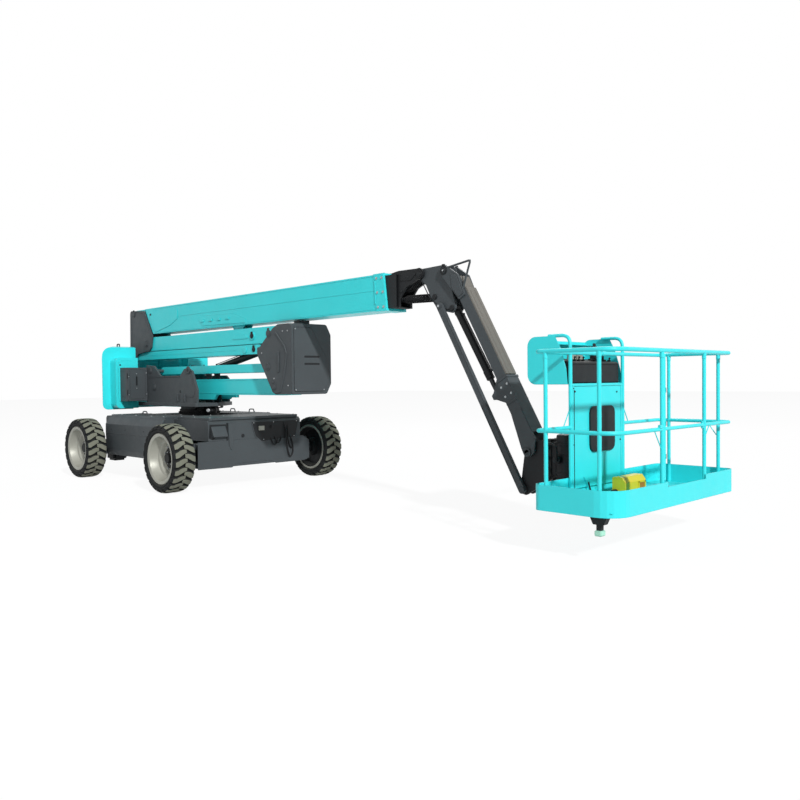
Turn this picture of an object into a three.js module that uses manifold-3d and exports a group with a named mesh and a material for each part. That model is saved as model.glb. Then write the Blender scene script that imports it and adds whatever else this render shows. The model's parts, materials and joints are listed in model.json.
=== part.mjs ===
// Articulating boom lift, stowed. Millimetres, +Z up, +X from the counterweight towards the platform.
import * as THREE from 'three';
import { mergeVertices } from 'three/addons/utils/BufferGeometryUtils.js';
import Module from 'manifold-3d';

const wasm = await Module();
wasm.setup();

// ---------------------------------------------------------------------------------------------
// Driving dimensions
// ---------------------------------------------------------------------------------------------
const FIT = 0.3;             // running gap between a pin or rod and what it turns or slides in

const WHEELBASE = 2240;
const TYRE_R = 391;
const TYRE_W = 262;
const WIDTH = 2382;          // over the tyres
const RIM_R = 290;
const BEAD_R = 262;
const AXLE_X = WHEELBASE / 2;
const WHEEL_Y = (WIDTH - TYRE_W) / 2;
const KINGPIN_Y = 840;

const DECK_Z = 830;
const BODY_Z = 280;
const CORE_HALF = 660;
const WING_HALF = 850;

const PLATE_Y = 350;         // turntable side plates, outer face
const BALLAST_Z = 888;       // underside of the counterweight
const HOOD_Z = 905;          // underside of the hoods

const ARM_HALF = 130;        // lower riser arm
const LINK_IN = 136;         // lower link bars
const LINK_OUT = 168;
const UPPER_HALF = 120;      // upper riser arm and its link
const UPRIGHT_IN = 126;
const UPRIGHT_OUT = 148;
const KNUCKLE_HALF = 252;

// riser pivots, [x, z]
const LOW_BASE = [-550, 1185];
const LOW_TIP = [2020, 1185];
const LOW_OFFSET = [-100, 220];
const UP_BASE = [1935, 1787];
const UP_TIP = [-1150, 1787];
const UP_OFFSET = [-385, -160];
const RISER_CYL_BASE = [347, 1401];

// main boom
const BOOM_PIVOT = [-1513, 2231];
const BOOM_TOP = 2288;
const BOOM_BOTTOM = 1929;
const BOOM_HALF = 130;
const BOOM_FRONT = 3720;
const BOOM_WALL = 10;
const FLY_CLEAR = 8;
const FLY_TIP = 3850;
const LIFT_CYL_BASE = [-1003, 1845];
const LIFT_CYL_EYE = [1040, 1845];

// boom head and jib
const HEAD_PIVOT = [4138, 2240];
const LEVEL_BASE = [3430, 2040];
const LEVEL_EYE = [4311, 2014];
const JIB_PIVOT = [4447, 2242];
const JIB_LINK_PIVOT = [4391, 1922];
const JIB_CYL_PIVOT = [4522, 1896];
const JIB_ANGLE = -60.3;     // degrees above the horizontal
const JIB_LENGTH = 1856;
const JIB_CYL_EYE = [1275, -78];   // along and across the jib arm

// platform
const ROTATE_X = 5700;
const PLAT_X0 = 6014;
const PLAT_X1 = 6675;
const PLAT_HALF = 915;
const PLAT_Z0 = 324;
const TOE_Z = 504;
const MID_RAIL_Z = 881;
const TOP_RAIL_Z = 1435;
const RAIL_R = 16;
const RAIL_FLAT = RAIL_R * Math.cos(Math.PI / 8);   // from its centre to its flats
const RAIL_INSET = 22;       // rail centres inside the toe board's outer face
const POST_R = 14;

// ---------------------------------------------------------------------------------------------
// Materials
// ---------------------------------------------------------------------------------------------
function paint(color, roughness = 0.45, metalness = 0.1) {
  return new THREE.MeshStandardMaterial({ color, roughness, metalness });
}

const CYAN = paint(0x3fdde2, 0.35);
const DARK = paint(0x474b4d, 0.5);
const BLACK = paint(0x1f2122, 0.5);
const SILVER = paint(0xa9a99f, 0.4, 0.6);
const CHROME = paint(0xc8ccd0, 0.15, 1.0);
const TYRE = paint(0x5a5c52, 0.9, 0.0);
const YELLOW = paint(0xd8c62a, 0.5);

// ---------------------------------------------------------------------------------------------
// Solids
// ---------------------------------------------------------------------------------------------
function toSolid(geometry) {
  geometry.deleteAttribute('normal');
  geometry.deleteAttribute('uv');
  const merged = mergeVertices(geometry, 1e-3);
  const mesh = new wasm.Mesh({
    numProp: 3,
    vertProperties: new Float32Array(merged.attributes.position.array),
    triVerts: new Uint32Array(merged.index.array),
  });
  return new wasm.Manifold(mesh);
}

function toMesh(name, solid, material) {
  const mesh = solid.getMesh();
  const geometry = new THREE.BufferGeometry();
  geometry.setAttribute('position', new THREE.BufferAttribute(new Float32Array(mesh.vertProperties), 3));
  geometry.setIndex(new THREE.BufferAttribute(new Uint32Array(mesh.triVerts), 1));
  geometry.computeVertexNormals();
  const out = new THREE.Mesh(geometry, material);
  out.name = name;
  return out;
}

function join(solids) {
  return solids.reduce((sum, solid) => sum.add(solid));
}

function cut(solid, tools) {
  return tools.reduce((rest, tool) => rest.subtract(tool), solid);
}

function extrude(points, depth) {
  const shape = new THREE.Shape(points.map(([a, b]) => new THREE.Vector2(a, b)));
  return new THREE.ExtrudeGeometry(shape, { depth, bevelEnabled: false, curveSegments: 4 });
}

// outline in x and z, thickness in y
function plateXZ(points, y0, y1) {
  return toSolid(extrude(points, y1 - y0).rotateX(Math.PI / 2).translate(0, y1, 0));
}

// outline in x and y, thickness in z
function plateXY(points, z0, z1) {
  return toSolid(extrude(points, z1 - z0).translate(0, 0, z0));
}

// outline in y and z, thickness in x
function plateYZ(points, x0, x1) {
  const basis = new THREE.Matrix4().makeBasis(
    new THREE.Vector3(0, 1, 0),
    new THREE.Vector3(0, 0, 1),
    new THREE.Vector3(1, 0, 0),
  );
  return toSolid(extrude(points, x1 - x0).applyMatrix4(basis).translate(x0, 0, 0));
}

function box(x0, x1, y0, y1, z0, z1) {
  const geometry = new THREE.BoxGeometry(x1 - x0, y1 - y0, z1 - z0);
  return toSolid(geometry.translate((x0 + x1) / 2, (y0 + y1) / 2, (z0 + z1) / 2));
}

function cylinderY([x, z], r, y0, y1, segments = 16) {
  const geometry = new THREE.CylinderGeometry(r, r, y1 - y0, segments);
  return toSolid(geometry.translate(x, (y0 + y1) / 2, z));
}

// hole for a pin of radius r: its flats stay clear of the pin at any turn
function holeY(point, r, half = 300, segments = 16) {
  return cylinderY(point, (r + FIT) / Math.cos(Math.PI / segments), -half, half, segments);
}

function holeZ(x, y, r, segments = 16) {
  return cylinderZ(x, y, (r + FIT) / Math.cos(Math.PI / segments), 100, 900, segments);
}

function cylinderZ(x, y, r, z0, z1, segments = 16) {
  const geometry = new THREE.CylinderGeometry(r, r, z1 - z0, segments);
  return toSolid(geometry.rotateX(Math.PI / 2).translate(x, y, (z0 + z1) / 2));
}

function rod(a, b, r, segments = 12) {
  const from = new THREE.Vector3(...a);
  const to = new THREE.Vector3(...b);
  const along = to.clone().sub(from);
  const geometry = new THREE.CylinderGeometry(r, r, along.length(), segments);
  const turn = new THREE.Quaternion().setFromUnitVectors(new THREE.Vector3(0, 1, 0), along.clone().normalize());
  geometry.applyQuaternion(turn);
  geometry.translate(...from.add(to).multiplyScalar(0.5).toArray());
  return toSolid(geometry);
}

// round bar through points, its bends rounded (one value, or one for each point), each ring set in the
// plane that halves its corner
function bentBar(points, r, bend, sides = 6) {
  const path = roundedPath(points.map((p) => new THREE.Vector3(...p)), bend);
  const last = path.length - 1;
  const first = path[1].clone().sub(path[0]).normalize();
  const across = Math.abs(first.z) < 0.9 ? new THREE.Vector3(0, 0, 1) : new THREE.Vector3(1, 0, 0);
  const u = across.clone().cross(first).normalize();
  const v = first.clone().cross(u);
  let ring = [];
  for (let k = 0; k < sides; k += 1) {
    const at = (2 * Math.PI * (k + 0.5)) / sides;
    const offset = u.clone().multiplyScalar(r * Math.cos(at)).addScaledVector(v, r * Math.sin(at));
    ring.push(path[0].clone().add(offset));
  }
  const positions = [path[0], ...ring];
  const index = [];
  for (let k = 0; k < sides; k += 1) {
    index.push(0, 1 + ((k + 1) % sides), 1 + k);
  }
  for (let i = 1; i <= last; i += 1) {
    const along = path[i].clone().sub(path[i - 1]).normalize();
    const next = i < last ? path[i + 1].clone().sub(path[i]).normalize() : along;
    const normal = along.clone().add(next).normalize();
    ring = ring.map((p) => {
      const reach = path[i].clone().sub(p).dot(normal) / along.dot(normal);
      return p.clone().addScaledVector(along, reach);
    });
    const base = positions.length;
    positions.push(...ring);
    for (let k = 0; k < sides; k += 1) {
      const n = (k + 1) % sides;
      index.push(base - sides + k, base - sides + n, base + n);
      index.push(base - sides + k, base + n, base + k);
    }
  }
  const end = positions.length;
  positions.push(path[last]);
  for (let k = 0; k < sides; k += 1) {
    index.push(end, end - sides + k, end - sides + ((k + 1) % sides));
  }
  const geometry = new THREE.BufferGeometry().setFromPoints(positions);
  geometry.setIndex(index);
  return toSolid(geometry);
}

function roundedPath(points, bend, n = 2) {
  const out = [points[0]];
  for (let i = 1; i < points.length - 1; i += 1) {
    const back = Array.isArray(bend) ? bend[i] : bend;
    const toward = (other) => other.clone().sub(points[i]).normalize().multiplyScalar(back).add(points[i]);
    const curve = new THREE.QuadraticBezierCurve3(toward(points[i - 1]), points[i], toward(points[i + 1]));
    out.push(...curve.getPoints(n));
  }
  out.push(points[points.length - 1]);
  return out;
}

// outline with its corners rounded by r (one value, or one for each corner)
function rounded(points, r, n = 2) {
  const out = [];
  points.forEach((p, i) => {
    const radius = Array.isArray(r) ? r[i] : r;
    if (radius === 0) {
      out.push(p);
      return;
    }
    const before = points[(i + points.length - 1) % points.length];
    const after = points[(i + 1) % points.length];
    const u = unit(p, before);
    const v = unit(p, after);
    const angle = Math.acos(u[0] * v[0] + u[1] * v[1]);
    const back = radius / Math.tan(angle / 2);
    const a = [p[0] + u[0] * back, p[1] + u[1] * back];
    const b = [p[0] + v[0] * back, p[1] + v[1] * back];
    const reach = radius / Math.sin(angle / 2);
    const middle = unit([0, 0], [u[0] + v[0], u[1] + v[1]]);
    const centre = [p[0] + middle[0] * reach, p[1] + middle[1] * reach];
    const start = Math.atan2(a[1] - centre[1], a[0] - centre[0]);
    let turn = Math.atan2(b[1] - centre[1], b[0] - centre[0]) - start;
    turn -= 2 * Math.PI * Math.round(turn / (2 * Math.PI));
    for (let k = 0; k <= n; k += 1) {
      const at = start + (turn * k) / n;
      out.push([centre[0] + radius * Math.cos(at), centre[1] + radius * Math.sin(at)]);
    }
  });
  return out;
}

function unit(from, to) {
  const d = [to[0] - from[0], to[1] - from[1]];
  const length = Math.hypot(d[0], d[1]);
  return [d[0] / length, d[1] / length];
}

function add([a, b], [c, d]) {
  return [a + c, b + d];
}

function rectangle(a0, a1, b0, b1) {
  return [[a0, b0], [a1, b0], [a1, b1], [a0, b1]];
}

// arm outline between two pivots at the same height, ends rounded about them
function stadium([x0, z0], [x1, z1], r, n = 6) {
  const along = Math.atan2(z1 - z0, x1 - x0);
  const points = [];
  for (let k = 0; k <= n; k += 1) {
    const at = along - Math.PI / 2 + (Math.PI * k) / n;
    points.push([x1 + r * Math.cos(at), z1 + r * Math.sin(at)]);
  }
  for (let k = 0; k <= n; k += 1) {
    const at = along + Math.PI / 2 + (Math.PI * k) / n;
    points.push([x0 + r * Math.cos(at), z0 + r * Math.sin(at)]);
  }
  return points;
}

function bothSides(make) {
  return join([make(-1), make(1)]);
}

function slab(points, inner, outer, side) {
  return side < 0 ? plateXZ(points, -outer, -inner) : plateXZ(points, inner, outer);
}

// cylinder barrel and rod between two eyes in the x, z plane, both at y = 0
function ram(base, eye, barrelR, rodR, barrelLength, eyeR, eyeHalf, pinR, rodStart = eyeR + 40) {
  const u = unit(base, eye);
  const at = (d) => [base[0] + u[0] * d, 0, base[1] + u[1] * d];
  const length = Math.hypot(eye[0] - base[0], eye[1] - base[1]);
  const pin = holeY(base, pinR);
  const bore = rod(at(eyeR + 20), at(barrelLength + 50), rodR + FIT);
  const barrel = cut(
    join([rod(at(eyeR * 0.6), at(barrelLength), barrelR, 16), cylinderY(base, eyeR, -eyeHalf, eyeHalf)]),
    [pin, bore],
  );
  const plunger = cut(
    join([rod(at(rodStart), at(length - eyeR * 0.4), rodR), cylinderY(eye, eyeR, -eyeHalf, eyeHalf)]),
    [holeY(eye, pinR)],
  );
  return { barrel, plunger };
}

// ---------------------------------------------------------------------------------------------
// Wheels: built about the hub, axis along y, outer face towards +y
// ---------------------------------------------------------------------------------------------
function lathe(profile, segments) {
  const points = profile.map(([r, y]) => new THREE.Vector2(r, y));
  return toSolid(new THREE.LatheGeometry(points, segments));
}

// joins rings of equal length, each convex and listed anticlockwise in y and z, along -x
function loft(rings) {
  const n = rings[0].length;
  const ends = [rings[0], rings[rings.length - 1]];
  const centres = ends.map((ring) => [0, 1, 2].map((k) => ring.reduce((sum, p) => sum + p[k], 0) / n));
  const points = [...rings.flat(), ...centres].flat();
  const first = rings.length * n;
  const faces = [];
  for (let i = 0; i < n; i += 1) {
    const j = (i + 1) % n;
    for (let r = 0; r + 1 < rings.length; r += 1) {
      const a = r * n;
      faces.push(a + i, a + n + j, a + j, a + i, a + n + i, a + n + j);
    }
    faces.push(first, i, j, first + 1, (rings.length - 1) * n + j, (rings.length - 1) * n + i);
  }
  const geometry = new THREE.BufferGeometry();
  geometry.setAttribute('position', new THREE.Float32BufferAttribute(points, 3));
  geometry.setIndex(faces);
  return toSolid(geometry);
}

function tyreSolid() {
  const w = TYRE_W / 2;
  const bead = w - 26;
  return lathe([
    [BEAD_R + FIT, -bead],
    [RIM_R + 2, -bead],
    [RIM_R + 4, -w + 8],
    [330, -w],
    [372, -w + 3],
    [TYRE_R, -w + 28],
    [TYRE_R, w - 28],
    [372, w - 3],
    [330, w],
    [RIM_R + 4, w - 8],
    [RIM_R + 2, bead],
    [BEAD_R + FIT, bead],
    [BEAD_R + FIT, -bead],
  ], 20);
}

function rimSolid() {
  const flange = TYRE_W / 2 - 26 + FIT;
  return lathe([
    [0, -108],
    [118, -108],
    [118, -12],
    [BEAD_R - 12, -12],
    [BEAD_R - 12, -flange - 8],
    [RIM_R, -flange - 8],
    [RIM_R, -flange],
    [BEAD_R, -flange],
    [BEAD_R, flange],
    [RIM_R, flange],
    [RIM_R, flange + 8],
    [BEAD_R - 12, flange + 8],
    [BEAD_R - 12, 12],
    [92, 12],
    [90, 62],
    [0, 62],
  ], 20);
}

function wheel(name, x, side) {
  const group = new THREE.Group();
  group.position.set(x, side * WHEEL_Y, TYRE_R);
  group.rotation.z = side > 0 ? 0 : Math.PI;
  group.add(toMesh(`tyre_${name}`, tyreSolid(), TYRE));
  group.add(toMesh(`rim_${name}`, rimSolid(), SILVER));
  return group;
}

// ---------------------------------------------------------------------------------------------
// Chassis
// ---------------------------------------------------------------------------------------------
const HUB_FACE = WHEEL_Y - 108 - FIT;      // where the wheel bolts on
const END_X = AXLE_X + 240;                // body overhang behind the drive axle
const NOSE_X = AXLE_X + 180;               // body overhang past the steer axle
const POCKET_X = AXLE_X - 230;             // the body is cut up to here for the steer axle
const WING_X0 = -AXLE_X + 155;             // side wings end clear of the tyres
const WING_X1 = AXLE_X - 600;

function chassisFrame() {
  const core = plateXZ([
    [-END_X, BODY_Z + 60], [-END_X + 60, BODY_Z], [POCKET_X - 40, BODY_Z], [POCKET_X, BODY_Z + 40],
    [POCKET_X, 560], [NOSE_X, 560], [NOSE_X, DECK_Z - 60], [NOSE_X - 30, DECK_Z - 30],
    [-END_X + 30, DECK_Z - 30], [-END_X, DECK_Z - 60],
  ], -CORE_HALF, CORE_HALF);
  const wing = (side) => plateYZ(rounded([
    [side * (CORE_HALF - 10), 300],
    [side * (WING_HALF - 40), 300],
    [side * (WING_HALF - 8), 376],
    [side * WING_HALF, 588],
    [side * (WING_HALF - 2), 708],
    [side * (WING_HALF - 62), DECK_Z - 30],
    [side * (CORE_HALF - 10), DECK_Z - 30],
  ], 0), WING_X0, WING_X1);
  const beam = box(-AXLE_X - 110, -AXLE_X + 110, -HUB_FACE + 12, HUB_FACE - 12, 300, 480);
  const hub = (side) => {
    const y = side * HUB_FACE;
    return cylinderY([-AXLE_X, TYRE_R], 110, Math.min(y, y - side * 30), Math.max(y, y - side * 30), 24);
  };
  return join([core, wing(-1), wing(1), beam, hub(-1), hub(1)]);
}

function deckHandle([x, y]) {
  const foot = DECK_Z - 8;
  const top = DECK_Z + 40;
  return bentBar([[x - 62, y, foot], [x - 50, y, top], [x + 50, y, top], [x + 62, y, foot]], 8, 16, 5);
}

function deckCover(side, handles) {
  const outer = side * (WING_HALF - 66);
  const inner = side * 330;
  const low = DECK_Z - 30 + FIT;
  const plate = plateYZ([[inner, low], [outer, low], [outer - side * 18, DECK_Z], [inner, DECK_Z]], WING_X0 + 20, WING_X1 - 15);
  return join([plate, ...handles.map(deckHandle)]);
}

function frontCover() {
  return plateXY(rounded(rectangle(AXLE_X - 560, NOSE_X - 10, -640, 640), 30), DECK_Z - 30 + FIT, DECK_Z);
}

function steerAxle() {
  const beam = box(AXLE_X - 75, NOSE_X, -760, 760, 250, 530);
  const seat = box(AXLE_X - 75, NOSE_X - 10, -500, 500, 520, 560 - FIT);
  const ear = (side, z0, z1) => join([
    box(AXLE_X - 55, AXLE_X + 55, side > 0 ? 700 : -KINGPIN_Y, side > 0 ? KINGPIN_Y : -700, z0, z1),
    cylinderZ(AXLE_X, side * KINGPIN_Y, 55, z0, z1),
  ]);
  const body = join([beam, seat, ear(1, 470, 530), ear(1, 252, 300), ear(-1, 470, 530), ear(-1, 252, 300)]);
  const pin = (side) => holeZ(AXLE_X, side * KINGPIN_Y, 25);
  const pocket = (side) => box(
    AXLE_X - 80, NOSE_X + 10, side > 0 ? 735 : -950, side > 0 ? 950 : -735, 300, 470,
  );
  return cut(body, [pin(1), pin(-1), pocket(1), pocket(-1)]);
}

const TIE_X = AXLE_X - 165;           // steering arms reach back to the tie rod
const TIE_Y = KINGPIN_Y;
const TIE_Z = 330;

function steeringKnuckle(side) {
  const y0 = side * KINGPIN_Y;
  const y1 = side * HUB_FACE;
  const post = cylinderZ(AXLE_X, y0, 50, 300 + 1, 470 - 1);
  const pins = cylinderZ(AXLE_X, y0, 25, 256, 526);
  const spindle = cylinderY([AXLE_X, TYRE_R], 60, Math.min(y0, y1), Math.max(y0, y1), 16);
  const flange = cylinderY([AXLE_X, TYRE_R], 110, Math.min(y1, y1 - side * 18), Math.max(y1, y1 - side * 18), 16);
  const arm = plateXY([
    [AXLE_X, y0 - 30], [AXLE_X, y0 + 30], [TIE_X - 10, side * TIE_Y + 28], [TIE_X - 30, side * TIE_Y],
    [TIE_X - 10, side * TIE_Y - 28],
  ], TIE_Z - 15, TIE_Z + 15);
  return cut(join([post, pins, spindle, flange, arm]), [holeZ(TIE_X, side * TIE_Y, 14)]);
}

function tieRod() {
  const z = TIE_Z + 15 + FIT;
  const bar = rod([TIE_X, -TIE_Y, z + 18], [TIE_X, TIE_Y, z + 18], 18);
  const end = (side) => join([
    cylinderZ(TIE_X, side * TIE_Y, 30, z, z + 36),
    cylinderZ(TIE_X, side * TIE_Y, 14, z - 30, z + 5),
  ]);
  return join([bar, end(1), end(-1)]);
}

// ---------------------------------------------------------------------------------------------
// Turntable
// ---------------------------------------------------------------------------------------------
function slewBearing() {
  return cylinderZ(0, 0, 255, DECK_Z - 30 + FIT, 900, 32);
}

function turntable() {
  const low = 985;
  const near = slab(rounded([
    [-770, low], [535, low], [542, 1150], [425, 1388], [330, 1425], [231, 1417], [130, 1335],
    [-390, 1335], [-560, 1470], [-770, 1488],
  ], [0, 0, 60, 40, 0, 30, 30, 40, 30, 10]), PLATE_Y - 25, PLATE_Y, -1);
  const far = slab(rounded([
    [-770, low], [190, low], [190, 1290], [130, 1335], [-390, 1335], [-560, 1470], [-770, 1488],
  ], [0, 0, 30, 30, 40, 30, 10]), PLATE_Y - 25, PLATE_Y, 1);
  const edge = PLATE_Y + 25.7;
  const floor = plateXY(rounded([
    [-1695, -edge], [545, -edge], [545, -60], [440, 110], [200, edge], [-1695, edge],
  ], [30, 30, 20, 20, 30, 30]), 940, 986);
  const drum = cylinderZ(0, 0, 240, 900 + FIT, 945, 32);
  const lowPin = cylinderY(LOW_BASE, 30, -PLATE_Y, PLATE_Y);
  const linkPin = cylinderY(add(LOW_BASE, LOW_OFFSET), 22, -PLATE_Y, PLATE_Y);
  const boss = cylinderY(RISER_CYL_BASE, 34, -PLATE_Y - 12, -PLATE_Y + 5);
  const bracket = bothSides((side) => slab([
    [270, 980], [440, 980], [400, 1401], [385, 1430], [347, 1443], [310, 1430], [290, 1401],
  ], 52, 70, side));
  const cylPin = cylinderY(RISER_CYL_BASE, 22, -70, 70);
  return join([near, far, floor, drum, lowPin, linkPin, boss, bracket, cylPin]);
}

// [x, half width, top radius, top] of each rounded section, front to back
const BALLAST_SECTIONS = [
  [-1120, 810, 120, 1735], [-1230, 765, 170, 1752], [-1480, 640, 190, 1758], [-1690, 490, 170, 1752],
  [-1800, 320, 110, 1725],
];

function counterweight() {
  const low = BALLAST_Z;
  const rings = BALLAST_SECTIONS.map(([x, half, r, top]) => rounded(
    [[-half, low], [half, low], [half, top], [-half, top]], [70, 70, r, r], 6,
  ).map(([y, z]) => [x, y, z]));
  const block = loft(rings);
  const boomWell = box(-1700, -1000, -330, 330, 1100, 1900);
  const rearWell = box(-1900, -1600, -330, 330, 1600, 1900);
  const floorWell = box(-1700, -1000, -376, 376, 800, 1110);
  return cut(block, [boomWell, rearWell, floorWell]);
}

function hood(side) {
  const outline = rounded([
    [side * 384, HOOD_Z], [side * 700, HOOD_Z], [side * 700, 1589], [side * 384, 1589],
  ], [0, 60, 70, 0], 4);
  return plateYZ(outline, -1120 + FIT, -950);
}

function controlBox(side) {
  const outer = side * 642;
  const inner = side * (PLATE_Y + FIT);
  const outline = [
    [-948, inner], [-948, outer], [-785, outer], [-760, side * 632], [-760, inner],
  ];
  return plateXY(outline, 1002, 1452);
}

function controlDoor(side) {
  const outline = rounded([
    [side * (PLATE_Y + 6), 1006], [side * 630, 1006], [side * 630, 1448], [side * (PLATE_Y + 6), 1448],
  ], 14, 3);
  return plateYZ(outline, -760 + FIT, -742);
}

function slewMotor() {
  const body = rod([335, -15, 940 - FIT], [335, -15, 842], 60, 16);
  const motor = rod([335, -15, 890], [472, -152, 890], 42, 16);
  const cap = rod([465, -145, 890], [486, -166, 890], 24);
  return join([body, motor, cap]);
}

// ---------------------------------------------------------------------------------------------
// Riser
// ---------------------------------------------------------------------------------------------
function lowerArm() {
  const [x0, z0] = LOW_BASE;
  const [x1] = LOW_TIP;
  const half = 97;
  const outline = stadium(LOW_BASE, LOW_TIP, half, 5);
  const body = plateXZ(outline, -ARM_HALF, ARM_HALF);
  const belly = plateXZ([
    [100, z0 - half + 10], [150, z0 - half - 62], [560, z0 - half - 62], [640, z0 - half + 10],
  ], -ARM_HALF, ARM_HALF);
  const keel = box(560, 740, 20, ARM_HALF, z0 - half - 40, z0 - half + 10);
  const cavity = box(x0 + 150, x1 - 150, -ARM_HALF + 12, ARM_HALF - 12, z0 - half + 12, z0 + half - 12);
  const slot = box(150, 1430, -88, 88, z0 - 300, z0 + 300);
  const pins = [
    holeY(LOW_BASE, 30),
    holeY(LOW_TIP, 30),
  ];
  return cut(join([body, belly, keel]), [cavity, slot, ...pins]);
}

function lowerLink() {
  const a = add(LOW_BASE, LOW_OFFSET);
  const b = add(LOW_TIP, LOW_OFFSET);
  const bars = bothSides((side) => slab(stadium(a, b, 50, 5), LINK_IN, LINK_OUT, side));
  const collars = join([a, b].map((p) => cylinderY(p, 38, -LINK_OUT, LINK_OUT)));
  return cut(join([bars, collars]), [a, b].map((p) => holeY(p, 22)));
}

function knuckleBox() {
  const a = add(LOW_TIP, LOW_OFFSET);
  const eye = add(UP_BASE, UP_OFFSET);
  const outline = rounded([
    [1705, 1600], [1720, 1540], [2000, 1125], [2060, 1100], [2340, 1100], [2340, 1880], [2110, 1880], [2020, 1845],
  ], [30, 30, 30, 30, 30, 30, 30, 30]);
  const sides = bothSides((side) => slab(outline, KNUCKLE_HALF - 18, KNUCKLE_HALF, side));
  const face = box(2300, 2340, -KNUCKLE_HALF + 10, KNUCKLE_HALF - 10, 1125, 1860);
  const cover = plateYZ(rounded([
    [-KNUCKLE_HALF, 1100], [235, 1100], [298, 1215], [298, 1765], [235, 1880], [-KNUCKLE_HALF, 1880],
  ], [30, 40, 40, 40, 40, 30], 3), 2325, 2362);
  const roof = box(2125, 2330, -KNUCKLE_HALF + 10, KNUCKLE_HALF - 10, 1862, 1880);
  const pad = box(2170, 2270, -70, 70, 1875, 1923);
  const ear = [
    [eye[0], eye[1] - 45], [eye[0] + 160, eye[1] - 70], [1800, 1500], [2310, 1440], [2310, 1640], [1800, 1640],
    [eye[0] + 20, eye[1] + 42], [eye[0] - 25, eye[1] + 36], [eye[0] - 44, eye[1]],
  ];
  const ears = bothSides((side) => slab(ear, 52, 74, side));
  const pins = join([
    cylinderY(LOW_TIP, 30, -KNUCKLE_HALF, KNUCKLE_HALF),
    cylinderY(a, 22, -KNUCKLE_HALF, KNUCKLE_HALF),
    cylinderY(UP_BASE, 30, -KNUCKLE_HALF, KNUCKLE_HALF),
  ]);
  const linkPins = bothSides((side) => cylinderY(eye, 22, side > 0 ? 52 : -128, side > 0 ? 128 : -52));
  return join([sides, face, cover, roof, pad, ears, pins, linkPins]);
}

function upperArm() {
  const [x0, z0] = UP_TIP;
  const [x1] = UP_BASE;
  const body = plateXZ(stadium(UP_TIP, UP_BASE, 95, 5), -UPPER_HALF, UPPER_HALF);
  const cavity = box(x0 + 100, x1 - 140, -UPPER_HALF + 12, UPPER_HALF - 12, z0 - 83, z0 + 83);
  const slot = box(x0 + 34, 1280, -82, 82, z0 - 37, z0 + 200);
  const pins = [
    holeY(UP_TIP, 25),
    holeY(UP_BASE, 30),
  ];
  return cut(body, [cavity, slot, ...pins]);
}

function upperLink() {
  const a = add(UP_TIP, UP_OFFSET);
  const b = add(UP_BASE, UP_OFFSET);
  const body = plateXZ(stadium(a, b, 56, 5), -UPPER_HALF, UPPER_HALF);
  const slot = box(780, b[0] + 200, -80, 80, b[1] - 200, b[1] + 200);
  const cavity = box(a[0] + 120, 900, -UPPER_HALF + 10, UPPER_HALF - 10, a[1] - 46, a[1] + 46);
  return cut(body, [
    slot,
    cavity,
    holeY(a, 25),
    holeY(b, 22),
  ]);
}

function upright() {
  const b = add(UP_TIP, UP_OFFSET);
  const outline = rounded([
    [-1632, 2290], [-1216, 2262], [-985, 1896], [-1020, 1740], [-1085, 1690], [-1420, 1660], [-1480, 1570],
    [-1600, 1570], [-1650, 1640],
  ], [40, 25, 25, 20, 20, 20, 30, 30, 20]);
  const sides = bothSides((side) => slab(outline, UPRIGHT_IN, UPRIGHT_OUT, side));
  const back = box(-1648, -1634, -UPRIGHT_IN - 2, UPRIGHT_IN + 2, 1720, 2180);
  const web = box(-1180, -1070, -UPRIGHT_IN - 2, UPRIGHT_IN + 2, 1893, 1913);
  const lug = bothSides((side) => slab([
    [-1075, 1900], [-1050, 1845], [-1030, 1812], [-976, 1812], [-956, 1845], [-975, 1900],
  ], 57, 73, side));
  const pins = join([
    cylinderY(UP_TIP, 25, -UPRIGHT_OUT - 10, UPRIGHT_OUT + 10),
    cylinderY(b, 25, -UPRIGHT_OUT - 8, UPRIGHT_OUT + 8),
    cylinderY(BOOM_PIVOT, 30, -UPRIGHT_OUT - 12, UPRIGHT_OUT + 12),
    cylinderY(LIFT_CYL_BASE, 20, -73, 73),
  ]);
  return join([sides, back, web, lug, pins]);
}

// ---------------------------------------------------------------------------------------------
// Main boom, fly and head
// ---------------------------------------------------------------------------------------------
function mainBoom() {
  const tube = plateXZ([
    [-1212, BOOM_TOP], [-982, BOOM_BOTTOM], [BOOM_FRONT + 20, BOOM_BOTTOM], [BOOM_FRONT - 25, BOOM_TOP],
  ], -BOOM_HALF, BOOM_HALF);
  const collar = plateXZ([
    [BOOM_FRONT - 170, BOOM_TOP + 6], [BOOM_FRONT - 130, BOOM_BOTTOM - 6], [BOOM_FRONT + 20, BOOM_BOTTOM - 6],
    [BOOM_FRONT - 25, BOOM_TOP + 6],
  ], -BOOM_HALF - 6, BOOM_HALF + 6);
  const cavity = box(-960, BOOM_FRONT - 150, -BOOM_HALF + BOOM_WALL, BOOM_HALF - BOOM_WALL,
    BOOM_BOTTOM + BOOM_WALL, BOOM_TOP - BOOM_WALL);
  const edge = BOOM_WALL + FLY_CLEAR - FIT;
  const mouth = box(BOOM_FRONT - 160, BOOM_FRONT + 200, -BOOM_HALF + edge, BOOM_HALF - edge,
    BOOM_BOTTOM + edge, BOOM_TOP - edge);
  const lugs = bothSides((side) => slab([
    [-1100, 2285], [-1490, 2285], [-1560, 2260], [-1575, 2215], [-1540, 2175], [-1480, 2165], [-1080, 2080],
  ], 80, 118, side));
  const eye = bothSides((side) => slab([
    [900, BOOM_BOTTOM + 5], [985, 1845], [1005, 1812], [1040, 1800], [1075, 1812], [1095, 1845], [1180, BOOM_BOTTOM + 5],
  ], 46, 62, side));
  return cut(join([tube, collar, lugs, eye]), [
    cavity,
    mouth,
    holeY(BOOM_PIVOT, 30),
  ]);
}

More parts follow.
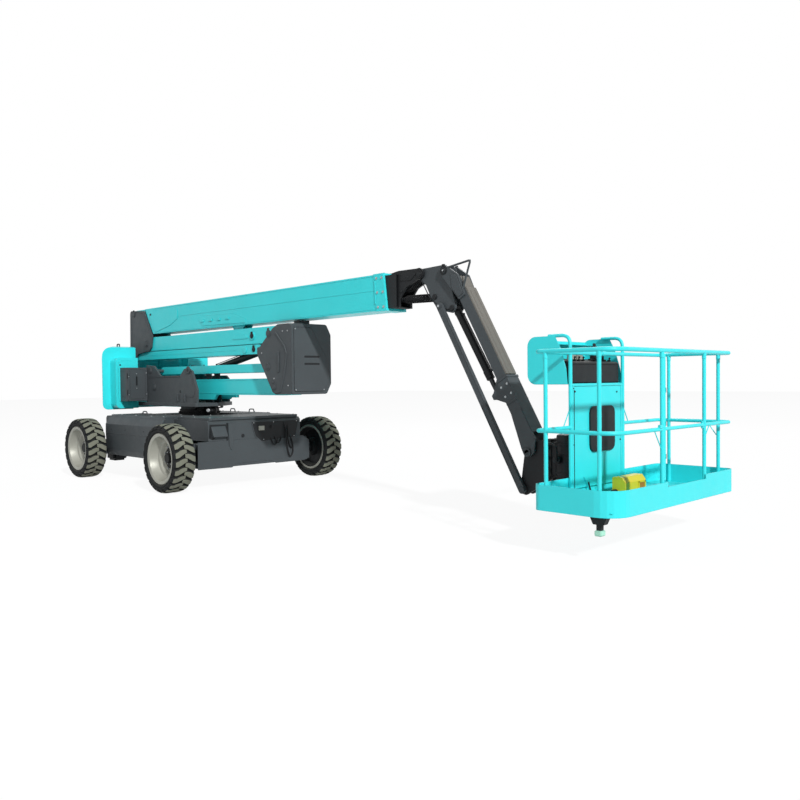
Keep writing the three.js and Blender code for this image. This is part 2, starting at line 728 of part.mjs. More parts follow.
function flyBoom() {
  const y = BOOM_HALF - BOOM_WALL - FLY_CLEAR;
  const z0 = BOOM_BOTTOM + BOOM_WALL + FLY_CLEAR;
  const z1 = BOOM_TOP - BOOM_WALL - FLY_CLEAR;
  const tube = box(-200, FLY_TIP, -y, y, z0, z1);
  const hollow = box(-400, FLY_TIP + 100, -y + 10, y - 10, z0 + 10, z1 - 10);
  const gap = FLY_CLEAR - FIT;
  const pads = box(-190, -60, -y - gap, y + gap, z0 - gap, z1 + gap);
  const nose = rounded([
    [3760, 2285], [3860, 2300], [4180, 2296], [4195, 2200], [4100, 2190], [3960, 2130], [3870, 2030], [3870, 1945],
    [3780, 1945],
  ], [0, 20, 50, 45, 20, 20, 10, 0, 0], 4);
  const noses = bothSides((side) => slab(nose, 66, 88, side));
  const roof = box(3800, 4040, -80, 80, 2284, 2296);
  const bed = box(LEVEL_BASE[0] - 30, LEVEL_BASE[0] + 30, -y, y, z0, z0 + 12);
  const lug = bothSides((side) => box(LEVEL_BASE[0] - 34, LEVEL_BASE[0] + 34, side > 0 ? 40 : -54, side > 0 ? 54 : -40,
    z0 + 2, LEVEL_BASE[1] + 30));
  const pins = join([
    cylinderY(LEVEL_BASE, 16, -54, 54),
    cylinderY(HEAD_PIVOT, 26, -96, 96),
  ]);
  return join([cut(join([tube, pads]), [hollow]), noses, roof, bed, lug, pins]);
}

function boomHead() {
  const outline = rounded([
    [4090, 2225], [4120, 2290], [4440, 2300], [4480, 2260], [4500, 2120], [4570, 1900], [4530, 1850], [4400, 1880],
    [4340, 1900], [4270, 1990], [4200, 2130],
  ], [20, 30, 30, 20, 20, 20, 20, 20, 20, 20, 20]);
  const plates = bothSides((side) => slab(outline, 42, 60, side));
  const hub = cylinderY(HEAD_PIVOT, 45, -60, 60);
  const spacer = box(4330, 4400, -43, 43, 2090, 2270);
  const pins = join([
    cylinderY(JIB_PIVOT, 26, -100, 100),
    cylinderY(JIB_LINK_PIVOT, 20, -104, 70),
    cylinderY(JIB_CYL_PIVOT, 18, -60, 60),
  ]);
  return cut(join([plates, hub, spacer, pins]), [holeY(HEAD_PIVOT, 26)]);
}

// ---------------------------------------------------------------------------------------------
// Jib: local frame x along the arm, z across it
// ---------------------------------------------------------------------------------------------
const JIB_TURN = (JIB_ANGLE * Math.PI) / 180;

function jibPoint([along, across]) {
  return [
    along * Math.cos(JIB_TURN) - across * Math.sin(JIB_TURN),
    along * Math.sin(JIB_TURN) + across * Math.cos(JIB_TURN),
  ];
}

function alongJib(solid, [x, z]) {
  return solid.rotate([0, -JIB_ANGLE, 0]).translate([x, 0, z]);
}

const JIB_SLEEVE = JIB_LENGTH - 676;       // the doubled lower part starts here
const JIB_CHEEK = JIB_LENGTH - 356;        // cheek plates at the lower pivot

function jibArm() {
  const bar = box(140, JIB_LENGTH - 130, -72, 72, 18, 118);
  const hollow = box(100, JIB_LENGTH + 100, -62, 62, 28, 108);
  const head = bothSides((side) => slab(rounded([
    [-45, 30], [-45, -30], [0, -45], [60, -40], [330, 20], [330, 100], [120, 118],
  ], [25, 25, 20, 20, 10, 10, 20]), 66, 88, side));
  const sleeve = cut(box(JIB_SLEEVE, JIB_LENGTH - 130, -80, 80, 8, 128), [box(JIB_SLEEVE - 80, JIB_LENGTH + 100, -70, 70, 20, 116)]);
  const foot = bothSides((side) => slab(rounded([
    [JIB_CHEEK, 10], [JIB_LENGTH - 60, -40], [JIB_LENGTH, -44], [JIB_LENGTH + 44, 0], [JIB_LENGTH + 30, 60],
    [JIB_LENGTH - 60, 126], [JIB_CHEEK, 126],
  ], [10, 20, 20, 20, 20, 20, 10]), 66, 84, side));
  const hoop = bentBar([[-18, -77, 5], [100, -77, 300], [270, -77, 100]], 10, 20, 6);
  const [ex, ez] = JIB_CYL_EYE;
  const lug = bothSides((side) => slab([
    [ex - 130, 20], [ex - 36, ez], [ex - 20, ez - 32], [ex + 20, ez - 32], [ex + 36, ez], [ex + 130, 20],
  ], 46, 60, side));
  const solid = cut(join([cut(bar, [hollow]), head, sleeve, foot, lug, hoop]), [
    holeY([0, 0], 26),
    holeY([JIB_LENGTH, 0], 24),
  ]);
  return alongJib(solid, JIB_PIVOT);
}

function jibLink() {
  const bar = slab(stadium([0, 0], [JIB_LENGTH, 0], 32, 5), 66, 96, -1);
  const solid = cut(bar, [
    holeY([0, 0], 20),
    holeY([JIB_LENGTH, 0], 20),
  ]);
  return alongJib(solid, JIB_LINK_PIVOT);
}

const JIB_FOOT = add(JIB_PIVOT, jibPoint([JIB_LENGTH, 0]));
const JIB_LINK_FOOT = add(JIB_LINK_PIVOT, jibPoint([JIB_LENGTH, 0]));
const JIB_EYE = add(JIB_PIVOT, jibPoint(JIB_CYL_EYE));

function platformSupport() {
  const [ax, az] = JIB_FOOT;
  const [lx, lz] = JIB_LINK_FOOT;
  const outline = rounded([
    [lx - 45, lz - 30], [lx + 20, lz - 45], [ROTATE_X - 110, 420], [ROTATE_X - 110, 760], [ax + 60, az + 90],
    [ax - 40, az + 50], [ax - 50, az - 20],
  ], 20);
  const plates = bothSides((side) => slab(outline, 36, 58, side));
  const web = box(ROTATE_X - 150, ROTATE_X - 110, -70, 70, 430, 750);
  const hub = cut(cylinderZ(ROTATE_X, 0, 90, 450, 730, 20), [holeZ(ROTATE_X, 0, 48, 20)]);
  const pins = join([
    cylinderY(JIB_FOOT, 24, -96, 96),
    cylinderY(JIB_LINK_FOOT, 20, -100, 66),
  ]);
  const neck = box(ROTATE_X - 130, ROTATE_X - 70, -60, 60, 455, 725);
  return cut(join([plates, web, hub, pins, neck]), [holeZ(ROTATE_X, 0, 48, 20)]);
}

// ---------------------------------------------------------------------------------------------
// Platform
// ---------------------------------------------------------------------------------------------
function platformMount() {
  const shaft = cylinderZ(ROTATE_X, 0, 48, 400, 775, 20);
  const caps = join([
    cylinderZ(ROTATE_X, 0, 85, 400, 450 - FIT, 20),
    cylinderZ(ROTATE_X, 0, 85, 730 + FIT, 775, 20),
  ]);
  const lower = box(ROTATE_X, PLAT_X0 - FIT, -70, 70, 400, 445);
  const upper = box(ROTATE_X, PLAT_X0 - 20, -60, 60, 735, 772);
  const stand = box(PLAT_X0 - 60, PLAT_X0 - FIT, -330, 330, 340, 445);
  const post = box(PLAT_X0 - 40, PLAT_X0 - FIT, -70, 70, 440, 772);
  return join([shaft, caps, lower, upper, stand, post]);
}

function platformTray() {
  const outline = (inset) => rounded(
    rectangle(PLAT_X0 + inset, PLAT_X1 - inset, -PLAT_HALF + inset, PLAT_HALF - inset),
    [60 - inset, 170 - inset, 60 - inset, 60 - inset], 6,
  );
  const shell = cut(plateXY(outline(0), PLAT_Z0, TOE_Z), [plateXY(outline(6), PLAT_Z0 + 30, TOE_Z + 50)]);
  const sill = box(PLAT_X1 - 40, PLAT_X1 + 20, -210, 400, TOE_Z - 35, TOE_Z + 50);
  return cut(shell, [sill]);
}

const GATE_Y0 = -232;
const GATE_Y1 = 417;
const GATE_HINGE_Y = GATE_Y0 - 24 + POST_R + 13 + FIT;

function platformRails() {
  const x0 = PLAT_X0 + RAIL_INSET;
  const x1 = PLAT_X1 - RAIL_INSET;
  const y = PLAT_HALF - RAIL_INSET;
  const z = TOP_RAIL_Z;
  const bends = [0, 45, 150, 45, 45, 0];
  const top = bentBar([[x0, -5, z], [x0, -y, z], [x1, -y, z], [x1, y, z], [x0, y, z], [x0, 5, z]], RAIL_R, bends, 8);
  const sleeve = rod([x0, -30, z], [x0, 30, z], RAIL_R + 3);
  const m = MID_RAIL_Z;
  const near = bentBar([[x1, GATE_Y0 - 24, m], [x1, -y, m], [x0, -y, m], [x0, -462, m]], RAIL_R - 3, [0, 150, 45, 0], 8);
  const far = bentBar([[x1, GATE_Y1, m], [x1, y, m], [x0, y, m], [x0, 290, m]], RAIL_R - 3, 45, 8);
  const posts = [
    [x0, -462], [x0, 290], [6115, -y], [6535, -y + 4], [x1, GATE_Y0 - 24], [x1, GATE_Y1], [6555, y], [6130, y],
  ].map(([px, py]) => cylinderZ(px, py, POST_R, PLAT_Z0 + 30 + FIT, z, 8));
  return join([top, sleeve, near, far, ...posts]);
}

function platformGate() {
  const x1 = PLAT_X1 - RAIL_INSET;
  const y1 = GATE_Y1 - POST_R - FIT;
  const hinge = cylinderZ(x1, GATE_HINGE_Y, 13, TOE_Z + 10, TOP_RAIL_Z - RAIL_R - 6, 8);
  const bar = rod([x1, GATE_HINGE_Y, MID_RAIL_Z], [x1, y1 - 1, MID_RAIL_Z], 13, 8);
  const latch = box(x1 - 8, x1 + 8, y1 - 26, y1, MID_RAIL_Z - 30, MID_RAIL_Z + 32);
  return join([hinge, bar, latch]);
}

const PANEL_X = PLAT_X0 + RAIL_INSET;
const PANEL_Y0 = -462;
const PANEL_Y1 = 290;

function consolePanel() {
  const edge = POST_R + FIT;
  return plateYZ(rounded(rectangle(PANEL_Y0 + edge, PANEL_Y1 - edge, 420, 1205), 12, 2), PANEL_X - 3, PANEL_X + 3);
}

function documentBox() {
  return plateYZ(rounded(rectangle(-215, 138, 680, 1030), 55, 3), PANEL_X + 3 + FIT, PANEL_X + 19);
}

function consoleBox() {
  const x1 = PANEL_X - RAIL_FLAT - FIT;
  const x0 = PLAT_X0 - 355;
  const low = 1200;
  const top = 1565;
  const side = rounded([
    [x0, low], [x1, low], [x1 - 14, low + 120], [x1 - 62, top - 80], [x1 - 112, top], [x0, top],
  ], [75, 0, 30, 50, 20, 75], 4);
  const near = plateXZ(side, PANEL_Y0 - 16, PANEL_Y0 - 10);
  const far = plateXZ(side, PANEL_Y1 + 10, PANEL_Y1 + 16);
  const back = box(x0 + 20, x0 + 26, PANEL_Y0 - 11, PANEL_Y1 + 11, 1290, 1480);
  const floor = box(x0 + 70, x1, PANEL_Y0 - 11, PANEL_Y1 + 11, low, low + 6);
  const hoop = (y) => bentBar([
    [PANEL_X, y, TOP_RAIL_Z + RAIL_FLAT + FIT], [PANEL_X, y, top], [PANEL_X - 190, y, top],
  ], 13, 60, 8);
  const desk = plateXZ([
    [x0 + 120, low + 6 + FIT], [x1 - 4, low + 6 + FIT], [x1 - 4, 1370], [x0 + 120, 1400],
  ], -420, 260);
  return { shell: join([near, far, back, floor, hoop(PANEL_Y0), hoop(PANEL_Y1)]), desk };
}

// open towards the far side, treadle inside
function footPedal() {
  const z0 = PLAT_Z0 + 30 + FIT;
  const shell = plateXZ([[6190, z0], [6300, z0], [6300, z0 + 105], [6270, z0 + 142], [6190, z0 + 142]], -140, 172);
  const room = plateXZ([
    [6198, z0 + 8], [6292, z0 + 8], [6292, z0 + 102], [6266, z0 + 134], [6198, z0 + 134],
  ], -132, 200);
  return cut(shell, [room]);
}

// ---------------------------------------------------------------------------------------------
// Assembly
// ---------------------------------------------------------------------------------------------
const machine = new THREE.Group();
machine.name = 'boom_lift';

machine.add(toMesh('chassis_frame', chassisFrame(), DARK));
machine.add(toMesh('deck_cover_right', deckCover(-1, [[-440, -550]]), DARK));
machine.add(toMesh('deck_cover_left', deckCover(1, [[-240, 665], [150, 715]]), DARK));
machine.add(toMesh('deck_cover_front', frontCover(), DARK));
machine.add(toMesh('steer_axle', steerAxle(), DARK));
machine.add(toMesh('steering_knuckle_left', steeringKnuckle(1), BLACK));
machine.add(toMesh('steering_knuckle_right', steeringKnuckle(-1), BLACK));
machine.add(toMesh('tie_rod', tieRod(), BLACK));
machine.add(wheel('front_left', AXLE_X, 1));
machine.add(wheel('front_right', AXLE_X, -1));
machine.add(wheel('rear_left', -AXLE_X, 1));
machine.add(wheel('rear_right', -AXLE_X, -1));

machine.add(toMesh('slew_bearing', slewBearing(), BLACK));
machine.add(toMesh('turntable_frame', turntable(), DARK));
machine.add(toMesh('counterweight', counterweight(), CYAN));
machine.add(toMesh('hood_left', hood(1), CYAN));
machine.add(toMesh('hood_right', hood(-1), CYAN));
machine.add(toMesh('control_box_right', controlBox(-1), DARK));
machine.add(toMesh('control_box_left', controlBox(1), DARK));
machine.add(toMesh('control_box_door_right', controlDoor(-1), DARK));
machine.add(toMesh('control_box_door_left', controlDoor(1), DARK));
machine.add(toMesh('slew_motor', slewMotor(), BLACK));

machine.add(toMesh('lower_riser_arm', lowerArm(), CYAN));
machine.add(toMesh('lower_riser_link', lowerLink(), CYAN));
machine.add(toMesh('mid_pivot_box', knuckleBox(), DARK));
machine.add(toMesh('upper_riser_arm', upperArm(), CYAN));
machine.add(toMesh('upper_riser_link', upperLink(), CYAN));
machine.add(toMesh('upright', upright(), DARK));

const riserRam = ram(RISER_CYL_BASE, add(UP_BASE, UP_OFFSET), 46, 26, 1130, 40, 44, 22);
machine.add(toMesh('riser_cylinder_barrel', riserRam.barrel, BLACK));
machine.add(toMesh('riser_cylinder_rod', riserRam.plunger, CHROME));

const liftRam = ram(LIFT_CYL_BASE, LIFT_CYL_EYE, 50, 30, 1150, 42, 40, 20);
machine.add(toMesh('lift_cylinder_barrel', liftRam.barrel, BLACK));
machine.add(toMesh('lift_cylinder_rod', liftRam.plunger, CHROME));

machine.add(toMesh('main_boom', mainBoom(), CYAN));
machine.add(toMesh('fly_boom', flyBoom(), DARK));

machine.add(toMesh('boom_head', boomHead(), DARK));
const levelRam = ram(LEVEL_BASE, LEVEL_EYE, 28, 16, 450, 26, 28, 16, 395);
machine.add(toMesh('level_cylinder_barrel', levelRam.barrel, BLACK));
machine.add(toMesh('level_cylinder_rod', levelRam.plunger, CHROME));

machine.add(toMesh('jib_arm', jibArm(), DARK));
machine.add(toMesh('jib_link', jibLink(), DARK));
const jibRam = ram(JIB_CYL_PIVOT, JIB_EYE, 38, 22, 760, 34, 28, 18);
machine.add(toMesh('jib_cylinder_barrel', jibRam.barrel, BLACK));
machine.add(toMesh('jib_cylinder_rod', jibRam.plunger, CHROME));

machine.add(toMesh('platform_support', platformSupport(), BLACK));
machine.add(toMesh('platform_mount', platformMount(), BLACK));
machine.add(toMesh('platform_floor', platformTray(), CYAN));
machine.add(toMesh('guard_rails', platformRails(), CYAN));
machine.add(toMesh('platform_gate', platformGate(), CYAN));
machine.add(toMesh('console_panel', consolePanel(), CYAN));
machine.add(toMesh('document_box', documentBox(), BLACK));
const { shell, desk } = consoleBox();
machine.add(toMesh('console_box', shell, CYAN));
machine.add(toMesh('console_desk', desk, BLACK));
machine.add(toMesh('foot_pedal', footPedal(), YELLOW));

// origin midway along and across the machine, on the ground
const extent = new THREE.Box3().setFromObject(machine);
machine.position.x = -(extent.min.x + extent.max.x) / 2;

export default machine;
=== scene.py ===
"""Looks of an articulating boom lift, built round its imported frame.

The frame's own solids carry most of the machine and get procedural finishes here.
What a solid cannot show, such as tread, bolts, tubes, hoses and pressed panels, is
added as separate pieces, each riding on the body that it belongs to.
"""

from __future__ import annotations

import json
import logging
import math
from dataclasses import dataclass
from enum import Enum
from typing import Any, Iterable, Sequence

import bmesh
import bpy
from mathutils import Matrix, Vector

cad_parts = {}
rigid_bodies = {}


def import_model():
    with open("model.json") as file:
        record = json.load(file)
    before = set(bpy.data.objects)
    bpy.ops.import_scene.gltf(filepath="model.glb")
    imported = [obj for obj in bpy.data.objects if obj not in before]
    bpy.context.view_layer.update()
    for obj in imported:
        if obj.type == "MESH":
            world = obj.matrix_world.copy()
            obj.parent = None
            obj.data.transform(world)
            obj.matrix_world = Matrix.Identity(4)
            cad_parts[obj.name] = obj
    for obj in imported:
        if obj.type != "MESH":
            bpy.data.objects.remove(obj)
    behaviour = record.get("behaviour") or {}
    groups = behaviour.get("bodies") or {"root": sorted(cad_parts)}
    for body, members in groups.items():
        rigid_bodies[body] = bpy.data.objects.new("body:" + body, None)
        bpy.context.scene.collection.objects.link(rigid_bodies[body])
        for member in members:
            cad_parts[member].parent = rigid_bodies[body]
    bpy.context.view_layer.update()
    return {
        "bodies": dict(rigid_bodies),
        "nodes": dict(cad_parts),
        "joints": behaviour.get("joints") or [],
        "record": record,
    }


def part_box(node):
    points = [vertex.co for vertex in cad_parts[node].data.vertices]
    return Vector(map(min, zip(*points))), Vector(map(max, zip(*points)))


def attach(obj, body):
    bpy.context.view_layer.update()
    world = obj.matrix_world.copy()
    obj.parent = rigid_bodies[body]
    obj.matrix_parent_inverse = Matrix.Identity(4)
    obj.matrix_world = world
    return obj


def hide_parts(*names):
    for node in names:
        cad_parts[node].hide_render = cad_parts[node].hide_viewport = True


LOG = logging.getLogger("boom_lift")
Point = Sequence[float]


# --- Colour and nodes
def linear(code: str) -> tuple[float, float, float, float]:
    """Turns an sRGB hex colour into linear light.

    Args:
        code: six hex digits, with or without a leading hash.

    Returns:
        Red, green, blue and alpha.
    """
    code = code.lstrip("#")
    values = [int(code[i : i + 2], 16) / 255 for i in (0, 2, 4)]
    red, green, blue = [v / 12.92 if v <= 0.04045 else ((v + 0.055) / 1.055) ** 2.4 for v in values]
    return red, green, blue, 1.0


def node(
    tree: bpy.types.NodeTree, kind: str, inputs: dict | None = None, **settings: Any,
) -> bpy.types.bpy_prop_collection:
    """Adds a node with its settings, values and links.

    Args:
        tree: the tree that gets the node.
        kind: the node's type name; without "Node" in it, a shader node's.
        inputs: socket name or number, and a value or the output that feeds it.
        settings: the node's own properties.

    Returns:
        The new node's outputs.
    """
    made = tree.nodes.new(kind if "Node" in kind else f"ShaderNode{kind}")
    for name, value in settings.items():
        setattr(made, name, value)
    for key, value in (inputs or {}).items():
        if isinstance(value, bpy.types.NodeSocket):
            tree.links.new(value, made.inputs[key])
        else:
            made.inputs[key].default_value = value
    return made.outputs


# --- Finishes
@dataclass(frozen=True)
class Finish:
    """A surface: its colours, gloss, wear and grain, drawn on Object coordinates.

    Attributes:
        name: the real finish.
        colour: sRGB hex of the clean surface.
        worn: sRGB hex of what shows where edges are rubbed.
        dust: sRGB hex of the dust that settles on top.
        roughness: middle roughness.
        metallic: 0 for paint, rubber and plastic, 1 for bare metal.
        tone: how far the colour drifts over half a metre.
        wear: how much of the edges is rubbed.
        dusting: how much dust lies on upward faces.
        grain: size of the surface grain, in metres.
        bump: depth of the grain, in metres.
        coat: clear gloss over the colour.
        edge: radius at which a sharp edge is read as rounded, in metres.
        shine: how much it mirrors head on; 0.5 is plain enamel.
        stretch: how the patterns are squeezed along each axis.
    """

    name: str
    colour: str
    worn: str = "9a9c98"
    dust: str = "a8a498"
    roughness: float = 0.4
    metallic: float = 0.0
    tone: float = 0.05
    wear: float = 0.35
    dusting: float = 0.18
    grain: float = 0.012
    bump: float = 0.0004
    coat: float = 0.0
    edge: float = 0.005
    shine: float = 0.5
    stretch: tuple[float, float, float] = (1.0, 1.0, 1.0)

    def material(self) -> bpy.types.Material:
        """Builds the material.

        Returns:
            The new material, with its node tree.
        """
        made = bpy.data.materials.new(self.name)
        made.use_nodes = True
        made.diffuse_color = linear(self.colour)
        tree = made.node_tree
        tree.nodes.clear()
        place = node(tree, "TexCoord")
        shape = node(tree, "NewGeometry")
        span = node(tree, "Mapping", {"Vector": place["Object"], "Scale": self.stretch})["Vector"]
        # slow drift over about half a metre, as sprayed or cast surfaces have
        drift = node(tree, "TexNoise", {"Vector": span, "Scale": 2.0, "Detail": 4.0})
        # blotches a hand wide: handling, rain marks, thin polish
        blotch = node(tree, "TexNoise", {"Vector": span, "Scale": 11.0, "Detail": 6.0, "Roughness": 0.6})
        # grain drawn coarser than the real one so that it still shows at ten metres
        grain = node(tree, "TexNoise", {"Vector": span, "Scale": 1 / self.grain, "Detail": 2.0})
        rounded = node(tree, "Bevel", {"Radius": self.edge}, samples=4)["Normal"]
        flat = node(tree, "VectorMath", {0: rounded, 1: shape["Normal"]}, operation="DOT_PRODUCT")
        edge = node(
            tree, "MapRange", {"Value": flat["Value"], "From Min": 0.995, "From Max": 0.85, "To Max": 1.0},
        )
        rub = node(
            tree, "MapRange", {"Value": blotch[0], "From Min": 0.52, "From Max": 0.68, "To Max": self.wear},
        )
        worn = node(tree, "Math", {0: edge["Result"], 1: rub["Result"]}, operation="MULTIPLY")
        level = node(tree, "MapRange", {"Value": drift[0], "From Min": 0.3, "From Max": 0.7})
        deep = tuple(c * (1 - self.tone) for c in linear(self.colour)[:3]) + (1.0,)
        pale = tuple(min(1, c * (1 + self.tone)) for c in linear(self.colour)[:3]) + (1.0,)
        base = node(tree, "Mix", {0: level["Result"], 6: deep, 7: pale}, data_type="RGBA")
        rubbed = node(tree, "Mix", {0: worn[0], 6: base[2], 7: linear(self.worn)}, data_type="RGBA")
        up = node(tree, "SeparateXYZ", {"Vector": place["Normal"]})["Z"]
        lying = node(
            tree, "MapRange", {"Value": up, "From Min": 0.55, "From Max": 1.0, "To Max": self.dusting},
        )
        patchy = node(tree, "Math", {0: lying["Result"], 1: level["Result"]}, operation="MULTIPLY")
        dusty = node(tree, "Mix", {0: patchy[0], 6: rubbed[2], 7: linear(self.dust)}, data_type="RGBA")
        gloss = node(
            tree, "MapRange",
            {
                "Value": blotch[0], "From Min": 0.3, "From Max": 0.7,
                "To Min": max(0.05, self.roughness - 0.06), "To Max": min(1.0, self.roughness + 0.09),
            },
        )
        relief = node(
            tree, "Bump", {"Height": grain[0], "Normal": rounded, "Strength": 0.5, "Distance": self.bump},
        )
        body = node(
            tree, "BsdfPrincipled",
            {
                "Base Color": dusty[2], "Roughness": gloss["Result"], "Metallic": self.metallic,
                "Specular IOR Level": self.shine, "Normal": relief["Normal"], "Coat Weight": self.coat,
                "Coat Roughness": 0.12,
            },
        )
        node(tree, "OutputMaterial", {"Surface": body["BSDF"]})
        return made


class Skin(Enum):
    """The finishes on the machine."""

    # two-pack polyurethane enamel sprayed on steel: saturated, satin, soft highlights
    CYAN = Finish(
        "cyan_enamel_on_steel", "36dce1", worn="8fe9ea", roughness=0.36, tone=0.03, wear=0.3, dusting=0.06,
        coat=0.08, shine=0.35,
    )
    # slate satin enamel on plate: cool grey, broader highlights than the cyan
    SLATE = Finish(
        "slate_enamel_on_plate", "44494c", worn="757b7e", roughness=0.5, tone=0.08, wear=0.45, dusting=0.15,
        shine=0.25,
    )
    # lighter, warmer grey on the jib's top: painted light where the key lamp falls on it, with real dust
    # lying there too
    LIT_TOP_SLATE = Finish(
        "slate_enamel_painted_lit_top", "6a6761", worn="858279", roughness=0.6, tone=0.08, wear=0.3, dusting=0.2,
    )
    # black satin enamel on castings and brackets
    BLACK = Finish(
        "black_enamel_on_castings", "1f2123", worn="55585a", roughness=0.5, tone=0.12, wear=0.35, dusting=0.1,
        shine=0.2,
    )
    # silver-beige wheel enamel, dusty in the dish
    WHEEL = Finish(
        "silver_wheel_enamel", "a0a096", worn="74746c", roughness=0.42, metallic=0.25, tone=0.1, wear=0.4,
        dusting=0.25,
    )
    # ground and hard-chromed ram rods: mirror-like along the rod, faint draw lines
    CHROME = Finish(
        "hard_chromed_rod", "c9ccd0", worn="a9adb1", roughness=0.14, metallic=1.0, tone=0.04, wear=0.1,
        dusting=0.02, grain=0.004, bump=0.00005, stretch=(1.0, 6.0, 1.0),
    )
    # nitrided ram rods: near black, still smooth enough to carry a soft highlight
    NITRIDED = Finish(
        "nitrided_black_rod", "2b2e31", worn="44484b", roughness=0.3, metallic=0.5, tone=0.06, wear=0.2,
        dusting=0.05, grain=0.004, bump=0.00005,
    )
    # zinc-plated fasteners: grey-white, half-bright
    ZINC = Finish(
        "zinc_plated_fasteners", "aeb2b4", worn="888c8e", roughness=0.34, metallic=0.85, tone=0.1,
        dusting=0.05, grain=0.004, edge=0.002,
    )
    # yellow enamel on the foot switch guard
    YELLOW = Finish(
        "yellow_enamel_guard", "d6c524", worn="9c8f20", roughness=0.42, tone=0.05, wear=0.4, dusting=0.05,
    )
    # inside of the foot switch guard: its yellow darkened to amber, painted shade of the hollow
    SHADED_YELLOW = Finish("yellow_paint_painted_shade", "a86f1a", worn="6f4a14", roughness=0.5, tone=0.08, wear=0.3)
    # moulded black polypropylene: dry, finely grained
    PLASTIC = Finish(
        "moulded_black_plastic", "202224", worn="3c3f41", shine=0.25, roughness=0.58, tone=0.08, wear=0.2,
        dusting=0.12, grain=0.006, bump=0.0006,
    )
    # rubber hose cover: matt black with a slight bloom
    HOSE = Finish(
        "rubber_hose_cover", "17181a", worn="2c2e30", shine=0.25, roughness=0.7, tone=0.1, wear=0.2,
        dusting=0.12, grain=0.005, bump=0.0004,
    )
    # tyre side wall: cured black rubber
    SIDEWALL = Finish(
        "tyre_sidewall_rubber", "1e2021", worn="4a4b46", dust="7c7a6c", shine=0.2, roughness=0.78, tone=0.15,
        wear=0.6, dusting=0.25, grain=0.01, bump=0.0008,
    )
    # tread blocks: rubber scuffed by dry ground, olive-grey dust held in the surface
    TREAD = Finish(
        "dusty_tread_rubber", "76776a", worn="878773", shine=0.3, dust="8c8a78", roughness=0.88, tone=0.16,
        wear=0.5, dusting=0.3, grain=0.012, bump=0.0012,
    )
    # pale green glass-filled nylon block
    NYLON = Finish("pale_nylon_block", "a9dcc6", worn="8fbfae", roughness=0.5, tone=0.06, wear=0.2)


class Finishes:
    """Makes each finish's material once."""

    def __init__(self) -> None:
        """Starts with no material made."""
        self._made: dict[Skin, bpy.types.Material] = {}

    def get(self, skin: Skin) -> bpy.types.Material:
        """Gives a finish's material.

        Args:
            skin: which finish.

        Returns:
            Its material, built on the first call.
        """
        if skin not in self._made:
            self._made[skin] = skin.value.material()
        return self._made[skin]


FINISHES = Finishes()


# --- Shapes
def seat(x: float, y: float, z: float) -> Vector:
    """Places a point given from the slewing axis in the frame's own axes.

    Args:
        x: metres ahead of the slewing axis.
        y: metres to the machine's left.
        z: metres above the ground.

    Returns:
        The point in the frame.
    """
    low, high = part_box("slew_bearing")
    return Vector((x + (low.x + high.x) / 2, y, z))


def rectangle(a0: float, b0: float, a1: float, b1: float) -> list[tuple[float, float]]:
    """Gives a rectangle's corners in order.

    Args:
        a0: first corner, along the outline's first axis.
        b0: first corner, along its second axis.
        a1: opposite corner, along the first axis.
        b1: opposite corner, along the second axis.

    Returns:
        The four corners.
    """
    return [(a0, b0), (a1, b0), (a1, b1), (a0, b1)]


def round_corners(
    points: Sequence[Point], radius: float | Sequence[float], steps: int = 5,
) -> list[tuple[float, float]]:
    """Rounds an outline's corners.

    Args:
        points: corners in order.
        radius: one radius, or one for each corner.
        steps: chords for each corner.

    Returns:
        The rounded outline.
    """
    out: list[tuple[float, float]] = []
    for i, raw in enumerate(points):
        corner = Vector(raw)
        r = radius[i] if isinstance(radius, (list, tuple)) else radius
        if r <= 0:
            out.append((corner.x, corner.y))
            continue
        before = (Vector(points[i - 1]) - corner).normalized()
        after = (Vector(points[(i + 1) % len(points)]) - corner).normalized()
        half = before.angle(after) / 2
        centre = corner + (before + after).normalized() * (r / math.sin(half))
        back = r / math.tan(half)
        start = corner + before * back - centre
        end = corner + after * back - centre
        turn = math.atan2(start.x * end.y - start.y * end.x, start.dot(end))
        for k in range(steps + 1):
            a = turn * k / steps
            p = centre + Vector((
                start.x * math.cos(a) - start.y * math.sin(a), start.x * math.sin(a) + start.y * math.cos(a),
            ))
            out.append((p.x, p.y))
    return out


def bend_path(points: Sequence[Point], radius: float | Sequence[float], steps: int = 8) -> list[Vector]:
    """Rounds the corners of a path in space.

    Args:
        points: the path's corners.
        radius: how far before each corner its bend starts.
        steps: chords for each bend.

    Returns:
        The rounded path.
    """
    path = [Vector(p) for p in points]
    out = [path[0]]
    for i in range(1, len(path) - 1):
        back = radius[i] if isinstance(radius, (list, tuple)) else radius
        a = path[i] + (path[i - 1] - path[i]).normalized() * back
        b = path[i] + (path[i + 1] - path[i]).normalized() * back
        for k in range(steps + 1):
            t = k / steps
            out.append(a * (1 - t) ** 2 + path[i] * (2 * t * (1 - t)) + b * t**2)
    out.append(path[-1])
    return out


def smooth_path(points: Sequence[Point], steps: int = 8) -> list[Vector]:
    """Draws a smooth curve through points.

    Args:
        points: what the curve passes through.
        steps: chords between two points.

    Returns:
        Points along the curve.
    """
    p = [Vector(q) for q in points]
    p = [p[0] * 2 - p[1], *p, p[-1] * 2 - p[-2]]
    out = []
    for i in range(1, len(p) - 2):
        for k in range(steps):
            t = k / steps
            a, b, c, d = p[i - 1], p[i], p[i + 1], p[i + 2]
            out.append(
                0.5 * (
                    2 * b + (c - a) * t + (2 * a - 5 * b + 4 * c - d) * t**2 + (3 * b - a - 3 * c + d) * t**3
                )
            )
    out.append(p[-2])
    return out


class Plane(Enum):
    """Which two axes an outline lies in; its depth runs along the third."""

    XZ = (0, 2, 1)
    XY = (0, 1, 2)
    YZ = (1, 2, 0)


